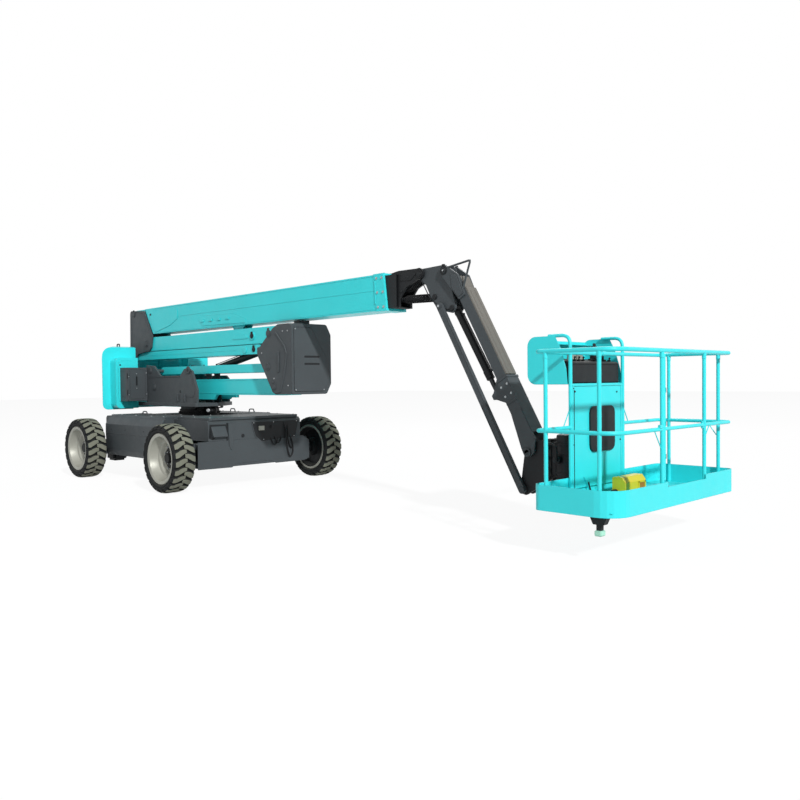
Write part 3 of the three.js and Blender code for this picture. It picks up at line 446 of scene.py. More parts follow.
def wrap(part: bmesh.types.BMesh, rings: Sequence[Sequence[bmesh.types.BMVert]]) -> None:
    """Joins each ring of corners to the next with faces.

    Args:
        part: the mesh that holds them.
        rings: rings of one size, in order.
    """
    for here, there in zip(rings, rings[1:]):
        for k in range(len(here)):
            m = (k + 1) % len(here)
            part.faces.new((here[k], here[m], there[m], there[k]))


class Form:
    """A mesh under construction, in the frame's axes."""

    def __init__(self) -> None:
        """Starts empty."""
        self.mesh = bmesh.new()

    def _take(self, part: bmesh.types.BMesh, bevel: float) -> Form:
        """Bevels a part's sharp edges and adds it.

        Args:
            part: the part, freed afterwards.
            bevel: width of the rounded edges.

        Returns:
            This form.
        """
        if bevel > 0:
            part.normal_update()
            sharp = [e for e in part.edges if len(e.link_faces) == 2 and e.calc_face_angle(0) > 0.6]
            bmesh.ops.bevel(part, geom=sharp, offset=bevel, segments=2, affect="EDGES", clamp_overlap=True)
        bmesh.ops.recalc_face_normals(part, faces=part.faces)
        kept = bpy.data.meshes.new("part")
        part.to_mesh(kept)
        part.free()
        self.mesh.from_mesh(kept)
        bpy.data.meshes.remove(kept)
        return self

    def box(self, low: Point, high: Point, bevel: float = 0.002) -> Form:
        """Adds a box between two corners.

        Args:
            low: lowest corner.
            high: highest corner.
            bevel: width of the rounded edges.

        Returns:
            This form.
        """
        a, b = Vector(low), Vector(high)
        part = bmesh.new()
        bmesh.ops.create_cube(part, size=1)
        for v in part.verts:
            v.co = (a + b) / 2 + Vector([v.co[i] * abs(b[i] - a[i]) for i in range(3)])
        return self._take(part, bevel)

    def prism(
        self, outline: Sequence[Point], plane: Plane, low: float, high: float, bevel: float = 0.0,
    ) -> Form:
        """Adds an outline given a thickness.

        Args:
            outline: its corners in the plane.
            plane: the plane it lies in.
            low: where it starts along the third axis.
            high: where it ends.
            bevel: width of the rounded edges.

        Returns:
            This form.
        """
        i, j, k = plane.value
        part = bmesh.new()
        rings = []
        for depth in (low, high):
            ring = []
            for p in outline:
                co = [0.0, 0.0, 0.0]
                co[i], co[j], co[k] = p[0], p[1], depth
                ring.append(part.verts.new(co))
            rings.append(ring)
        part.faces.new(rings[0])
        part.faces.new(list(reversed(rings[1])))
        count = len(outline)
        for n in range(count):
            m = (n + 1) % count
            part.faces.new((rings[0][n], rings[1][n], rings[1][m], rings[0][m]))
        return self._take(part, bevel)

    def rod(self, start: Point, end: Point, radius: float, sides: int = 28, bevel: float = 0.0) -> Form:
        """Adds a round bar.

        Args:
            start: one end's centre.
            end: the other end's centre.
            radius: the bar's radius.
            sides: facets round it.
            bevel: width of the rounded rims.

        Returns:
            This form.
        """
        a, b = Vector(start), Vector(end)
        part = bmesh.new()
        turn = (b - a).to_track_quat("Z", "Y").to_matrix().to_4x4()
        bmesh.ops.create_cone(
            part, cap_ends=True, segments=sides, radius1=radius, radius2=radius, depth=(b - a).length,
            matrix=Matrix.Translation((a + b) / 2) @ turn,
        )
        return self._take(part, bevel)

    def across(
        self, x: float, z: float, y0: float, y1: float, radius: float, sides: int = 28, bevel: float = 0.0,
    ) -> Form:
        """Adds a round bar that lies across the machine.

        Args:
            x: ahead of the slewing axis.
            z: above the ground.
            y0: one end, from the middle.
            y1: the other end.
            radius: the bar's radius.
            sides: facets round it.
            bevel: width of the rounded rims.

        Returns:
            This form.
        """
        return self.rod(seat(x, y0, z), seat(x, y1, z), radius, sides, bevel)

    def cheek(
        self, shape: Sequence[Point], side: int, low: float, high: float, radius: float, steps: int = 5,
        bevel: float = 0.002,
    ) -> Form:
        """Adds a plate with rounded corners on one side of the machine.

        Args:
            shape: its corners, ahead of the slewing axis and above the ground.
            side: 1 for the left, -1 for the right.
            low: its inner face, from the middle.
            high: its outer face.
            radius: the corners' radius.
            steps: chords for each corner.
            bevel: width of the rounded edges.

        Returns:
            This form.
        """
        y0, y1 = sorted((side * low, side * high))
        outline = round_corners([(seat(x, 0, 0).x, z) for x, z in shape], radius, steps)
        return self.prism(outline, Plane.XZ, y0, y1, bevel)

    def lathe(self, profile: Sequence[Point], centre: Point, axis: Point, sides: int = 64) -> Form:
        """Adds a turned shape.

        Args:
            profile: radius and distance along the axis, in order; it is closed.
            centre: the axis's origin.
            axis: the axis's direction.
            sides: facets round it.

        Returns:
            This form.
        """
        part = bmesh.new()
        turn = Vector(axis).to_track_quat("Z", "Y").to_matrix()
        rings = []
        for r, along in profile:
            ring = []
            for k in range(sides):
                a = 2 * math.pi * k / sides
                co = turn @ Vector((r * math.cos(a), r * math.sin(a), along))
                ring.append(part.verts.new(co + Vector(centre)))
            rings.append(ring)
        wrap(part, rings + rings[:1])
        bmesh.ops.remove_doubles(part, verts=part.verts, dist=1e-5)
        return self._take(part, 0)

    def tube(self, points: Sequence[Point], radius: float, sides: int = 14, closed: bool = False) -> Form:
        """Adds a round bar along a path.

        Args:
            points: the path, already smooth.
            radius: the bar's radius.
            sides: facets round it.
            closed: whether the path returns to its start.

        Returns:
            This form.
        """
        path = [Vector(p) for p in points]
        count = len(path)
        part = bmesh.new()
        rings = []
        across = None
        for n, p in enumerate(path):
            before = path[n - 1] if (n or closed) else p
            after = path[(n + 1) % count] if (n < count - 1 or closed) else p
            along = (after - before).normalized()
            if across is None:
                side = Vector((0, 0, 1)) if abs(along.z) < 0.9 else Vector((1, 0, 0))
                across = along.cross(side).normalized()
            across = (across - along * across.dot(along)).normalized()
            other = along.cross(across)
            ring = []
            for k in range(sides):
                a = 2 * math.pi * k / sides
                ring.append(part.verts.new(p + (across * math.cos(a) + other * math.sin(a)) * radius))
            rings.append(ring)
        wrap(part, rings + rings[:1] if closed else rings)
        if not closed:
            part.faces.new(rings[0])
            part.faces.new(list(reversed(rings[-1])))
        return self._take(part, 0)

    def mesh_of(self, source: bpy.types.Mesh) -> Form:
        """Adds a finished mesh, then drops it.

        Args:
            source: the mesh to add.

        Returns:
            This form.
        """
        self.mesh.from_mesh(source)
        bpy.data.meshes.remove(source)
        return self

    def into_mesh(self, name: str, skin: Skin) -> bpy.types.Mesh:
        """Ends the form as a mesh.

        Args:
            name: the mesh's name.
            skin: its finish.

        Returns:
            The mesh, shaded smooth up to sharp edges.
        """
        made = bpy.data.meshes.new(name)
        self.mesh.to_mesh(made)
        self.mesh.free()
        made.materials.clear()
        made.materials.append(FINISHES.get(skin))
        made.polygons.foreach_set("use_smooth", [True] * len(made.polygons))
        made.polygons.foreach_set("material_index", [0] * len(made.polygons))
        made.set_sharp_from_angle(angle=math.radians(32))
        return made

    def piece(self, name: str, body: str, skin: Skin) -> bpy.types.Object:
        """Ends the form as a piece on a body.

        Args:
            name: the piece's name.
            body: the body it rides on.
            skin: its finish.

        Returns:
            The new object.
        """
        made = bpy.data.objects.new(name, self.into_mesh(name, skin))
        bpy.context.scene.collection.objects.link(made)
        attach(made, body)
        LOG.info("%s: %d faces on %s", name, len(made.data.polygons), body)
        return made


# --- Repeated parts
class Repeater:
    """A Geometry Nodes tree that sets copies of a shape in a row or round a ring."""

    def __init__(self) -> None:
        """Starts without its tree."""
        self.tree: bpy.types.NodeTree | None = None

    def _grow(self) -> None:
        """Builds the tree."""
        tree = bpy.data.node_groups.new("row_or_ring", "GeometryNodeTree")
        face = tree.interface
        face.new_socket("Geometry", in_out="OUTPUT", socket_type="NodeSocketGeometry")
        for name, kind in (
            ("Geometry", "Geometry"), ("Count", "Int"), ("Start", "Vector"), ("Step", "Vector"),
            ("Turn", "Vector"), ("Finish", "Material"),
        ):
            face.new_socket(name, in_out="INPUT", socket_type=f"NodeSocket{kind}")
        given = node(tree, "NodeGroupInput")
        index = node(tree, "GeometryNodeInputIndex")[0]
        moved = node(tree, "VectorMath", {0: given["Step"], "Scale": index}, operation="SCALE")
        placed = node(tree, "VectorMath", {0: given["Start"], 1: moved[0]}, operation="ADD")
        turned = node(tree, "VectorMath", {0: given["Turn"], "Scale": index}, operation="SCALE")
        spots = node(tree, "GeometryNodePoints", {"Count": given["Count"], "Position": placed[0]})
        copies = node(
            tree, "GeometryNodeInstanceOnPoints",
            {"Points": spots[0], "Instance": given["Geometry"], "Rotation": turned[0]},
        )
        real = node(tree, "GeometryNodeRealizeInstances", {"Geometry": copies[0]})
        dressed = node(tree, "GeometryNodeSetMaterial", {"Geometry": real[0], "Material": given["Finish"]})
        node(tree, "NodeGroupOutput", {0: dressed[0]})
        self.tree = tree

    def run(
        self, form: Form, skin: Skin, count: int, start: Point, step: Point = (0, 0, 0),
        turn: Point = (0, 0, 0),
    ) -> bpy.types.Mesh:
        """Copies a form made about the origin.

        Args:
            form: the shape to copy.
            skin: its finish.
            count: how many copies.
            start: where the first one goes.
            step: from one copy to the next.
            turn: Euler angles from one copy to the next.

        Returns:
            One plain mesh with every copy.
        """
        if not self.tree:
            self._grow()
        seed = bpy.data.objects.new("seed", form.into_mesh("seed", skin))
        bpy.context.scene.collection.objects.link(seed)
        added = seed.modifiers.new("row", "NODES")
        added.node_group = self.tree
        values = {
            "Count": count, "Start": Vector(start), "Step": Vector(step), "Turn": Vector(turn),
            "Finish": FINISHES.get(skin),
        }
        for item in self.tree.interface.items_tree:
            if item.in_out == "INPUT" and item.name in values:
                added[item.identifier] = values[item.name]
        bpy.context.view_layer.update()
        graph = bpy.context.evaluated_depsgraph_get()
        made = bpy.data.meshes.new_from_object(seed.evaluated_get(graph))
        bpy.data.objects.remove(seed)
        return made


def bolt(radius: float, axis: Point = (0, 0, 1)) -> Form:
    """Makes a hexagon bolt head on its washer, its seat at the origin.

    Args:
        radius: half the width over corners.
        axis: the way the head points.

    Returns:
        The form.
    """
    tall = radius * 0.7
    out = Vector(axis).normalized()
    washer = radius * 0.18
    form = Form().rod(out * -0.001, out * washer, radius * 1.3, 12)
    return form.rod(out * washer, out * (washer + tall), radius, 6, radius * 0.08)


REPEATER = Repeater()


def bolts_at(spots: Iterable[Point], radius: float, axis: Point = (0, 0, 1)) -> Form:
    """Sets bolt heads at points that follow no rule.

    Args:
        spots: each head's seat.
        radius: half a head's width over corners.
        axis: the way the heads point.

    Returns:
        The form.
    """
    form = Form()
    for spot in spots:
        form.mesh_of(REPEATER.run(bolt(radius, axis), Skin.ZINC, 1, spot))
    return form


# --- Wheels
@dataclass
class Wheel:
    """A foam-filled lugged tyre on a deep dished rim.

    Attributes:
        corner: which wheel, as in its node names.
        radius: over the lugs.
        width: over the side walls.
        bead: radius of the rim's seat.
        flange: radius of the rim's lip.
        lugs: lug pairs round the tread.
    """

    corner: str
    radius: float = 0.391
    width: float = 0.262
    bead: float = 0.262
    flange: float = 0.290
    lugs: int = 24

    def build(self) -> None:
        """Makes the tyre and the rim in place of their solids."""
        low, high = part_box(f"tyre_{self.corner}")
        self.hub = (low + high) / 2
        self.out = 1 if self.hub.y > 0 else -1
        self.body = f"{self.corner}_wheel"
        self._carcass()
        self._tread()
        self._rim()
        self._fasteners()

    def _axis(self) -> tuple[float, float, float]:
        """Gives the direction of the wheel's outer face."""
        return (0, self.out, 0)

    def _carcass(self) -> None:
        """Turns the side walls and the tread's floor."""
        w = self.width / 2
        b = w - 0.026
        base = self.radius - 0.031
        half = [
            (self.bead + 0.0005, b), (self.flange + 0.002, b + 0.001), (self.flange + 0.006, w - 0.012),
            (0.305, w - 0.004), (0.318, w - 0.002), (0.320, w - 0.006), (0.334, w - 0.004), (0.336, w),
            (0.344, w), (0.346, w - 0.005), (0.358, w - 0.011), (base - 0.004, w - 0.026), (base, w - 0.05),
            (base + 0.002, 0.02),
        ]
        profile = half + [(r, -y) for r, y in reversed(half)]
        tyre = Form().lathe(profile, self.hub, self._axis(), 96)
        made = tyre.piece(f"tyre_carcass_{self.corner}", self.body, Skin.SIDEWALL)
        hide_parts(f"tyre_{self.corner}")

    def _lug(self, side: int) -> Form:
        """Shapes one bar lug, from the tread's middle round the shoulder.

        Args:
            side: 1 for the left half of the tread, -1 for the right.

        Returns:
            The lug, about the wheel's centre.
        """
        w = self.width / 2
        pitch = 2 * math.pi / self.lugs
        base = self.radius - 0.034
        # across the tread, height of the top, how far the bar has swept, half its width
        line = [
            (-0.012, self.radius - 0.001, 0.0, 0.22), (0.022, self.radius, 0.05, 0.3),
            (0.05, self.radius, 0.17, 0.36), (0.078, self.radius - 0.002, 0.31, 0.385),
            (0.1, self.radius - 0.006, 0.4, 0.385), (w - 0.014, self.radius - 0.014, 0.45, 0.37),
            (w - 0.001, self.radius - 0.032, 0.48, 0.33), (w + 0.002, 0.338, 0.5, 0.2),
        ]
        form = Form()
        part = form.mesh
        rings = []
        for y, top, sweep, wide in line:
            ring = []
            inner = min(base, top - 0.004)
            for r, grow in ((inner, 1.0), (top, 0.86)):
                for way in (-1, 1):
                    a = pitch * (sweep + way * wide * grow)
                    ring.append(part.verts.new((r * math.sin(a), side * y, r * math.cos(a))))
            rings.append(ring)
        for here, there in zip(rings, rings[1:]):
            for p, q in ((0, 1), (1, 3), (3, 2), (2, 0)):
                part.faces.new((here[p], here[q], there[q], there[p]))
        for ring in (rings[0], rings[-1]):
            part.faces.new((ring[0], ring[1], ring[3], ring[2]))
        part.normal_update()
        rims = [
            e for e in part.edges if all(v in {ring[k] for ring in rings for k in (2, 3)} for v in e.verts)
        ]
        bmesh.ops.bevel(part, geom=rims, offset=0.003, segments=1, affect="EDGES", clamp_overlap=True)
        bmesh.ops.recalc_face_normals(part, faces=part.faces)
        return form

    def _tread(self) -> None:
        """Sets the bar lugs round the tyre, one side half a pitch after the other."""
        pitch = 2 * math.pi / self.lugs
        form = Form()
        for side in (-1, 1):
            lugs = REPEATER.run(self._lug(side), Skin.TREAD, self.lugs, (0, 0, 0), turn=(0, pitch, 0))
            shift = Matrix.Rotation(pitch / 2 if side > 0 else 0, 4, "Y")
            lugs.transform(Matrix.Translation(self.hub) @ shift)
            form.mesh_of(lugs)
        made = form.piece(f"tread_lugs_{self.corner}", self.body, Skin.TREAD)
        made.data.materials.append(FINISHES.get(Skin.SIDEWALL))
        for face in made.data.polygons:
            spoke = face.center - self.hub
            spoke.y = 0
            high = spoke.length > self.radius - 0.016
            if not high or face.normal.dot(spoke.normalized()) < 0.75:
                face.material_index = 1

    def _rim(self) -> None:
        """Turns the rim: rolled lips, stepped dish, hub plate and cap."""
        f = self.width / 2 - 0.026
        profile = [
            (0.0001, -0.028), (0.150, -0.028), (0.162, -0.022), (0.180, 0.012), (0.190, 0.018),
            (0.208, 0.022), (0.224, 0.044), (0.236, 0.074), (0.246, f - 0.012), (0.251, f + 0.004),
            (0.262, f + 0.0095), (self.flange - 0.006, f + 0.012), (self.flange, f + 0.007),
            (self.flange - 0.001, f + 0.001), (self.bead, f + 0.0005), (self.bead - 0.001, f - 0.02),
            (self.bead - 0.012, 0.0), (self.bead - 0.001, -f + 0.02), (self.bead, -f - 0.0005),
            (self.flange - 0.001, -f - 0.001), (self.flange, -f - 0.007), (self.flange - 0.006, -f - 0.012),
            (0.262, -f - 0.0095), (0.251, -f - 0.004), (0.244, -f + 0.02), (0.236, -0.06), (0.226, -0.044),
            (0.16, -0.046), (0.118, -0.05), (0.1165, -0.107), (0.0001, -0.107),
        ]
        rim = Form().lathe(profile, self.hub, self._axis(), 80)
        made = rim.piece(f"rim_dish_{self.corner}", self.body, Skin.WHEEL)
        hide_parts(f"rim_{self.corner}")
        made.data.materials.append(FINISHES.get(Skin.BLACK))
        for face in made.data.polygons:
            spoke = face.center - self.hub
            if spoke.y * self.out < -0.03 and math.hypot(spoke.x, spoke.z) < self.bead - 0.004:
                face.material_index = 1

    def _fasteners(self) -> None:
        """Sets the wheel bolts, the black hub and its cap screws."""
        hub = Form().lathe([
            (0.0001, 0.03), (0.05, 0.03), (0.056, 0.023), (0.058, 0.0), (0.088, -0.006), (0.118, -0.016),
            (0.122, -0.0285), (0.0001, -0.0285),
        ], self.hub, self._axis(), 48)
        hub.piece(f"wheel_hub_{self.corner}", self.body, Skin.BLACK)
        form = Form()
        for count, ring, out, size in ((9, 0.137, -0.028, 0.013), (6, 0.074, -0.003, 0.007)):
            step = 2 * math.pi / count
            one = bolt(size, (0, self.out, 0))
            bmesh.ops.translate(one.mesh, verts=one.mesh.verts, vec=(ring, self.out * out, 0))
            form.mesh_of(REPEATER.run(one, Skin.ZINC, count, self.hub, turn=(0, step, 0)))
        form.piece(f"wheel_bolts_{self.corner}", self.body, Skin.ZINC)


# --- Platform
@dataclass
class Platform:
    """The railed basket with its console.

    Attributes:
        rail_radius: top rail tube.
        mid_radius: middle rail tube.
        post_radius: posts.
        top: height of the top rail's centre.
        middle: height of the middle rails' centre.
        x0: rail at the boom's side, ahead of the slewing axis.
        x1: rail at the far side.
        half: the end rails, from the middle.
        posts: each post's place.
    """

    rail_radius: float = 0.016
    mid_radius: float = 0.0145
    post_radius: float = 0.0145
    top: float = 1.435
    middle: float = 0.881
    x0: float = 6.036
    x1: float = 6.653
    half: float = 0.893
    posts: tuple[tuple[float, float], ...] = (
        (6.115, -0.893), (6.535, -0.889), (6.653, -0.256), (6.653, 0.417), (6.555, 0.893), (6.130, 0.893),
    )

    def build(self) -> None:
        """Makes every piece of the basket."""
        self._rails()
        self._gussets()
        self._console()
        self._desk()
        self._panel_folds()
        self._tray_trim()
        self._foot_switch()
        self._gate()
        self._under_floor()

    def _rails(self) -> None:
        """Bends the rails and stands the posts."""
        t, m = self.top, self.middle
        a, b, h = self.x0, self.x1, self.half
        loop = bend_path([
            seat(a, 0, t), seat(a, -h, t), seat(b, -h, t), seat(b, h, t), seat(a, h, t), seat(a, 0.001, t),
        ], [0, 0.045, 0.15, 0.045, 0.045, 0])
        form = Form().tube(loop[:-1], self.rail_radius, 18, closed=True)
        form.across(a, t, -0.03, 0.03, self.rail_radius + 0.003)
        near = [seat(b, -0.256, m), seat(b, -h, m), seat(a, -h, m), seat(a, -0.462, m)]
        far = [seat(b, 0.417, m), seat(b, h, m), seat(a, h, m), seat(a, 0.29, m)]
        form.tube(bend_path(near, [0, 0.15, 0.045, 0]), self.mid_radius, 16)
        form.tube(bend_path(far, 0.045), self.mid_radius, 16)
        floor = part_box("platform_floor")[0].z + 0.0303
        for x, y in self.posts:
            form.rod(seat(x, y, floor), seat(x, y, t), self.post_radius, 20)
            # each post is pressed flat where it meets the top rail
            form.rod(seat(x, y, t - 0.05), seat(x, y, t - 0.012), self.post_radius + 0.002, 20)
        for y in (-0.462, 0.29):
            form.rod(seat(a, y, floor), seat(a, y, t), self.post_radius, 20)
        made = form.piece("platform_rails", "platform", Skin.CYAN)
        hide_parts("guard_rails")

    def _gussets(self) -> None:
        """Adds the thin struts and plates that stiffen the rail joints."""
        m, b, a = self.middle, self.x1, self.x0
        struts = [
            ((b, -0.372, m), (b, -0.272, m - 0.135)), ((b, 0.433, m - 0.09), (b, 0.51, m)),
            ((a, -0.478, m + 0.13), (a, -0.56, m)), ((a, 0.306, m + 0.12), (a, 0.38, m)),
            ((6.539, 0.893, m - 0.11), (6.46, 0.893, m)),
        ]
        form = Form()
        for low, high in struts:
            form.rod(seat(*low), seat(*high), 0.004, 8)
        form.box(seat(b - 0.004, -0.312, m + 0.006), seat(b + 0.017, -0.27, m + 0.032), 0.003)
        form.piece("rail_gussets", "platform", Skin.CYAN)

    def _console(self) -> None:
        """Makes the console's side shields, back and the hoops in front of them."""
        low, high = 1.2, 1.565
        x0, x1 = 5.659, 6.02
        side = [seat(x0, 0, 0), seat(x1, 0, 0)]
        r0, r1 = side[0].x, side[1].x
        outline = round_corners([
            (r0, low), (r1, low), (r1 - 0.012, low + 0.12), (r1 - 0.06, high - 0.09), (r1 - 0.11, high),
            (r0, high),
        ], [0.075, 0.006, 0.02, 0.05, 0.02, 0.075], 7)
        form = Form()
        for y0 in (-0.478, 0.3):
            form.prism(outline, Plane.XZ, y0, y0 + 0.006, 0.0015)
        form.box((r0 + 0.02, -0.473, 1.28), (r0 + 0.026, 0.301, 1.545), 0.002)
        form.box((r0 + 0.02, -0.473, 1.51), (r0 + 0.12, 0.301, 1.516), 0.002)
        form.box((r0 + 0.07, -0.473, low), (r1, 0.301, low + 0.006), 0.002)
        for y in (-0.462, 0.29):
            hoop = bend_path([
                seat(self.x0, y, self.top), seat(self.x0, y, 1.566), seat(self.x0 - 0.19, y, 1.566),
            ], 0.075, 10)
            form.tube(hoop, 0.0135, 16)
        made = form.piece("console_shields", "platform", Skin.CYAN)
        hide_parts("console_box")

    def _desk(self) -> None:
        """Makes the control desk with its levers, switches and joystick."""
        low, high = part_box("console_desk")
        face = 1.372
        outline = [
            (low.x, low.z), (high.x, low.z), (high.x, face - 0.012), (high.x - 0.016, face), (low.x, high.z),
        ]
        form = Form().prism(outline, Plane.XZ, low.y, high.y, 0.004)
        start = (high.x - 0.001, low.y + 0.006, low.z + 0.004)
        form.box(start, (high.x + 0.004, high.y - 0.006, face - 0.02), 0.004)
        slope = (high.z - face) / (high.x - 0.016 - low.x)
        for x, y, tall, r in (
            (-0.06, 0.12, 0.07, 0.017), (-0.12, 0.04, 0.05, 0.012), (-0.05, -0.3, 0.035, 0.009),
            (-0.05, -0.24, 0.035, 0.009), (-0.05, -0.18, 0.035, 0.009), (-0.05, -0.02, 0.03, 0.009),
            (-0.05, 0.2, 0.03, 0.009),
        ):
            foot = Vector((high.x + x, y, face - x * slope))
            form.rod(foot, foot + Vector((0, 0, 0.012)), r * 1.7, 18, 0.002)
            form.rod(foot, foot + Vector((0.004, 0, tall)), r * 0.55, 12)
            form.rod(foot + Vector((0.004, 0, tall * 0.6)), foot + Vector((0.006, 0, tall)), r, 16, r * 0.4)
        made = form.piece("control_desk", "platform", Skin.PLASTIC)
        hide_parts("console_desk")
        boxes = Form()
        boxes.box((high.x - 0.14, -0.27, face + 0.01), (high.x - 0.09, -0.21, face + 0.075), 0.006)
        boxes.box((high.x - 0.14, -0.17, face + 0.01), (high.x - 0.1, -0.1, face + 0.065), 0.006)
        boxes.piece("desk_switch_boxes", "platform", Skin.WHEEL)
        mast = Form()
        mast.box((high.x - 0.12, 0.035, face + 0.004), (high.x - 0.075, 0.085, face + 0.125), 0.008)
        mast.rod((high.x - 0.098, 0.06, face + 0.12), (high.x - 0.098, 0.06, face + 0.15), 0.013, 18, 0.004)
        mast.piece("desk_joystick_mast", "platform", Skin.PLASTIC)

    def _panel_folds(self) -> None:
        """Adds the pressed folds, holes and edge plates of the panel under the console."""
        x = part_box("console_panel")[1].x
        y0, y1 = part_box("console_panel")[0].y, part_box("console_panel")[1].y
        form = Form()
        for y in (y0 + 0.012, y1 - 0.012):
            form.box((x - 0.001, y - 0.011, 0.4), (x + 0.004, y + 0.011, 1.19), 0.0015)
        form.box((x - 0.001, y0, 1.185), (x + 0.007, y1, 1.2), 0.002)
        form.piece("panel_folds", "platform", Skin.CYAN)
        holes = Form()
        for y, z in ((-0.43, 1.17), (0.19, 1.135), (0.24, 0.752), (-0.41, 1.146), (-0.43, 0.75)):
            holes.rod((x + 0.001, y, z), (x + 0.0065, y, z), 0.0065, 14, 0.001)
        holes.rod((x + 0.004, -0.425, 0.4), (x + 0.004, -0.425, 1.16), 0.0035, 8)
        holes.piece("panel_fittings", "platform", Skin.BLACK)

    def _tray_trim(self) -> None:
        """Adds the deck plate with its raised ribs and the struts at the tray's back."""
        low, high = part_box("platform_floor")
        z = low.z + 0.0302
        deck = Form().box((low.x + 0.012, low.y + 0.03, z), (high.x - 0.05, high.y - 0.03, z + 0.003), 0.001)
        for k in range(9):
            start = (low.x + 0.05 + k * 0.065, low.y + 0.09, z + 0.0028)
            rib = Form().box((-0.02, -0.004, 0), (0.02, 0.004, 0.0025), 0.001)
            deck.mesh_of(REPEATER.run(rib, Skin.CYAN, 15, start, (0, 0.115, 0)))
        deck.piece("platform_deck_plate", "platform", Skin.CYAN)
        thin = Form()
        bars = (((-0.3, 0.5), (-0.21, 0.37)), ((0.33, 0.47), (0.44, 0.47)), ((0.44, 0.47), (0.4, 0.36)))
        for a, b in bars:
            thin.rod(seat(6.045, *a), seat(6.045, *b), 0.0035, 8)
        thin.piece("tray_struts", "platform", Skin.CYAN)

    def _foot_switch(self) -> None:
        """Makes the guarded foot switch, its guard open at one end, and its cable."""
        low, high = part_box("foot_pedal")
        x0, x1, z0, z1 = low.x, high.x, low.z, high.z
        shell = [(x0, z0), (x1, z0), (x1, z1 - 0.04), (x1 - 0.03, z1), (x0, z1)]
        wall = 0.007
        inner = [
            (x0 + wall, z0 + wall), (x1 - wall, z0 + wall), (x1 - wall, z1 - 0.043), (x1 - 0.033, z1 - wall),
            (x0 + wall, z1 - wall),
        ]
        part = Form()
        mesh = part.mesh
        rings = []
        for outline, y in ((shell, low.y), (shell, high.y), (inner, high.y), (inner, low.y + wall)):
            radius = 0.012 if outline is shell else 0.008
            rings.append([mesh.verts.new((px, y, pz)) for px, pz in round_corners(outline, radius, 4)])
        wrap(mesh, rings)
        mesh.faces.new(rings[0])
        mesh.faces.new(rings[-1])
        bmesh.ops.recalc_face_normals(mesh, faces=mesh.faces)
        made = part.piece("foot_switch_guard", "platform", Skin.YELLOW)
        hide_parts("foot_pedal")
        y = high.y
        # a thin amber sheet across the opening stands in for the guard's inside: painted shade
        window = Form().box((x1 - 0.001, y - 0.105, z0 + 0.016), (x1 + 0.0008, y - 0.016, z1 - 0.05), 0)
        window.piece("foot_switch_window", "platform", Skin.SHADED_YELLOW)
        frame = Form()
        for a, b in (((-0.115, 0.012), (-0.1, z1 - z0 - 0.045)), ((-0.02, 0.012), (-0.005, z1 - z0 - 0.045))):
            frame.box((x1 - 0.001, y + a[0], z0 + a[1]), (x1 + 0.004, y + b[0], z0 + b[1]), 0.001)
        for z in (z0 + 0.008, z1 - 0.055):
            frame.box((x1 - 0.001, y - 0.115, z), (x1 + 0.004, y - 0.005, z + 0.01), 0.001)
        frame.piece("foot_switch_frame", "platform", Skin.YELLOW)
        tread = Form().prism([
            (x0 + 0.01, z0 + 0.03), (x1 - 0.012, z0 + 0.018), (x1 - 0.012, z0 + 0.03),
            (x0 + 0.01, z0 + 0.045),
        ], Plane.XZ, low.y + 0.05, high.y - 0.012, 0.003)
        tread.piece("foot_switch_treadle", "platform", Skin.BLACK)
        plug = Form()
        y = low.y
        plug.rod((x0 + 0.03, y + 0.001, z0 + 0.03), (x0 + 0.03, y - 0.025, z0 + 0.03), 0.022, 20, 0.003)
        plug.rod((x0 + 0.03, y - 0.02, z0 + 0.03), (x0 + 0.03, y - 0.055, z0 + 0.035), 0.015, 20, 0.003)
        lead = smooth_path([
            (x0 + 0.03, y - 0.05, z0 + 0.035), (x0 + 0.01, y - 0.11, z0 + 0.03),
            (x0 - 0.07, y - 0.12, z0 + 0.012), (x0 - 0.12, y - 0.1, z0 + 0.03),
            (x0 - 0.143, y - 0.1, z0 + 0.1),
        ])
        plug.tube(lead, 0.006, 10)
        plug.piece("foot_switch_plug", "platform", Skin.HOSE)

    def _gate(self) -> None:
        """Makes the gate: a stile beside its post and one bar at middle rail height."""
        low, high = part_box("platform_gate")
        x = self.x1
        y0 = low.y + 0.013
        form = Form()
        form.rod(seat(x, y0, low.z), seat(x, y0, high.z), 0.0128, 20, 0.002)
        form.across(x, self.middle, y0, high.y - 0.004, 0.0135, 18, 0.002)
        form.box(
            seat(x - 0.008, high.y - 0.03, self.middle - 0.028), seat(x + 0.008, high.y, self.middle + 0.03),
            0.004,
        )
        made = form.piece("gate_frame", "gate", Skin.CYAN)
        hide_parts("platform_gate")
        marks = Form()
        for z in (1.155, 0.687, 0.92):
            marks.box(seat(x + 0.004, y0 + 0.004, z - 0.018), seat(x + 0.0145, y0 + 0.0105, z + 0.018), 0.002)
        marks.piece("gate_hinge_straps", "gate", Skin.BLACK)

    def _under_floor(self) -> None:
        """Hangs the small bracket and its nylon block under the near corner."""
        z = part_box("platform_floor")[0].z
        shape = [(6.45, 0.262), (6.53, 0.262), (6.56, z + 0.001), (6.42, z + 0.001)]
        outline = [(seat(p[0], 0, 0).x, p[1]) for p in shape]
        form = Form().prism(outline, Plane.XZ, -0.84, -0.78, 0.003)
        form.box(seat(6.468, -0.826, 0.215), seat(6.508, -0.792, 0.264), 0.003)
        form.piece("under_floor_bracket", "platform", Skin.BLACK)
        block = Form().box(seat(6.462, -0.84, 0.184), seat(6.514, -0.778, 0.222), 0.005)
        block.piece("under_floor_block", "platform", Skin.NYLON)


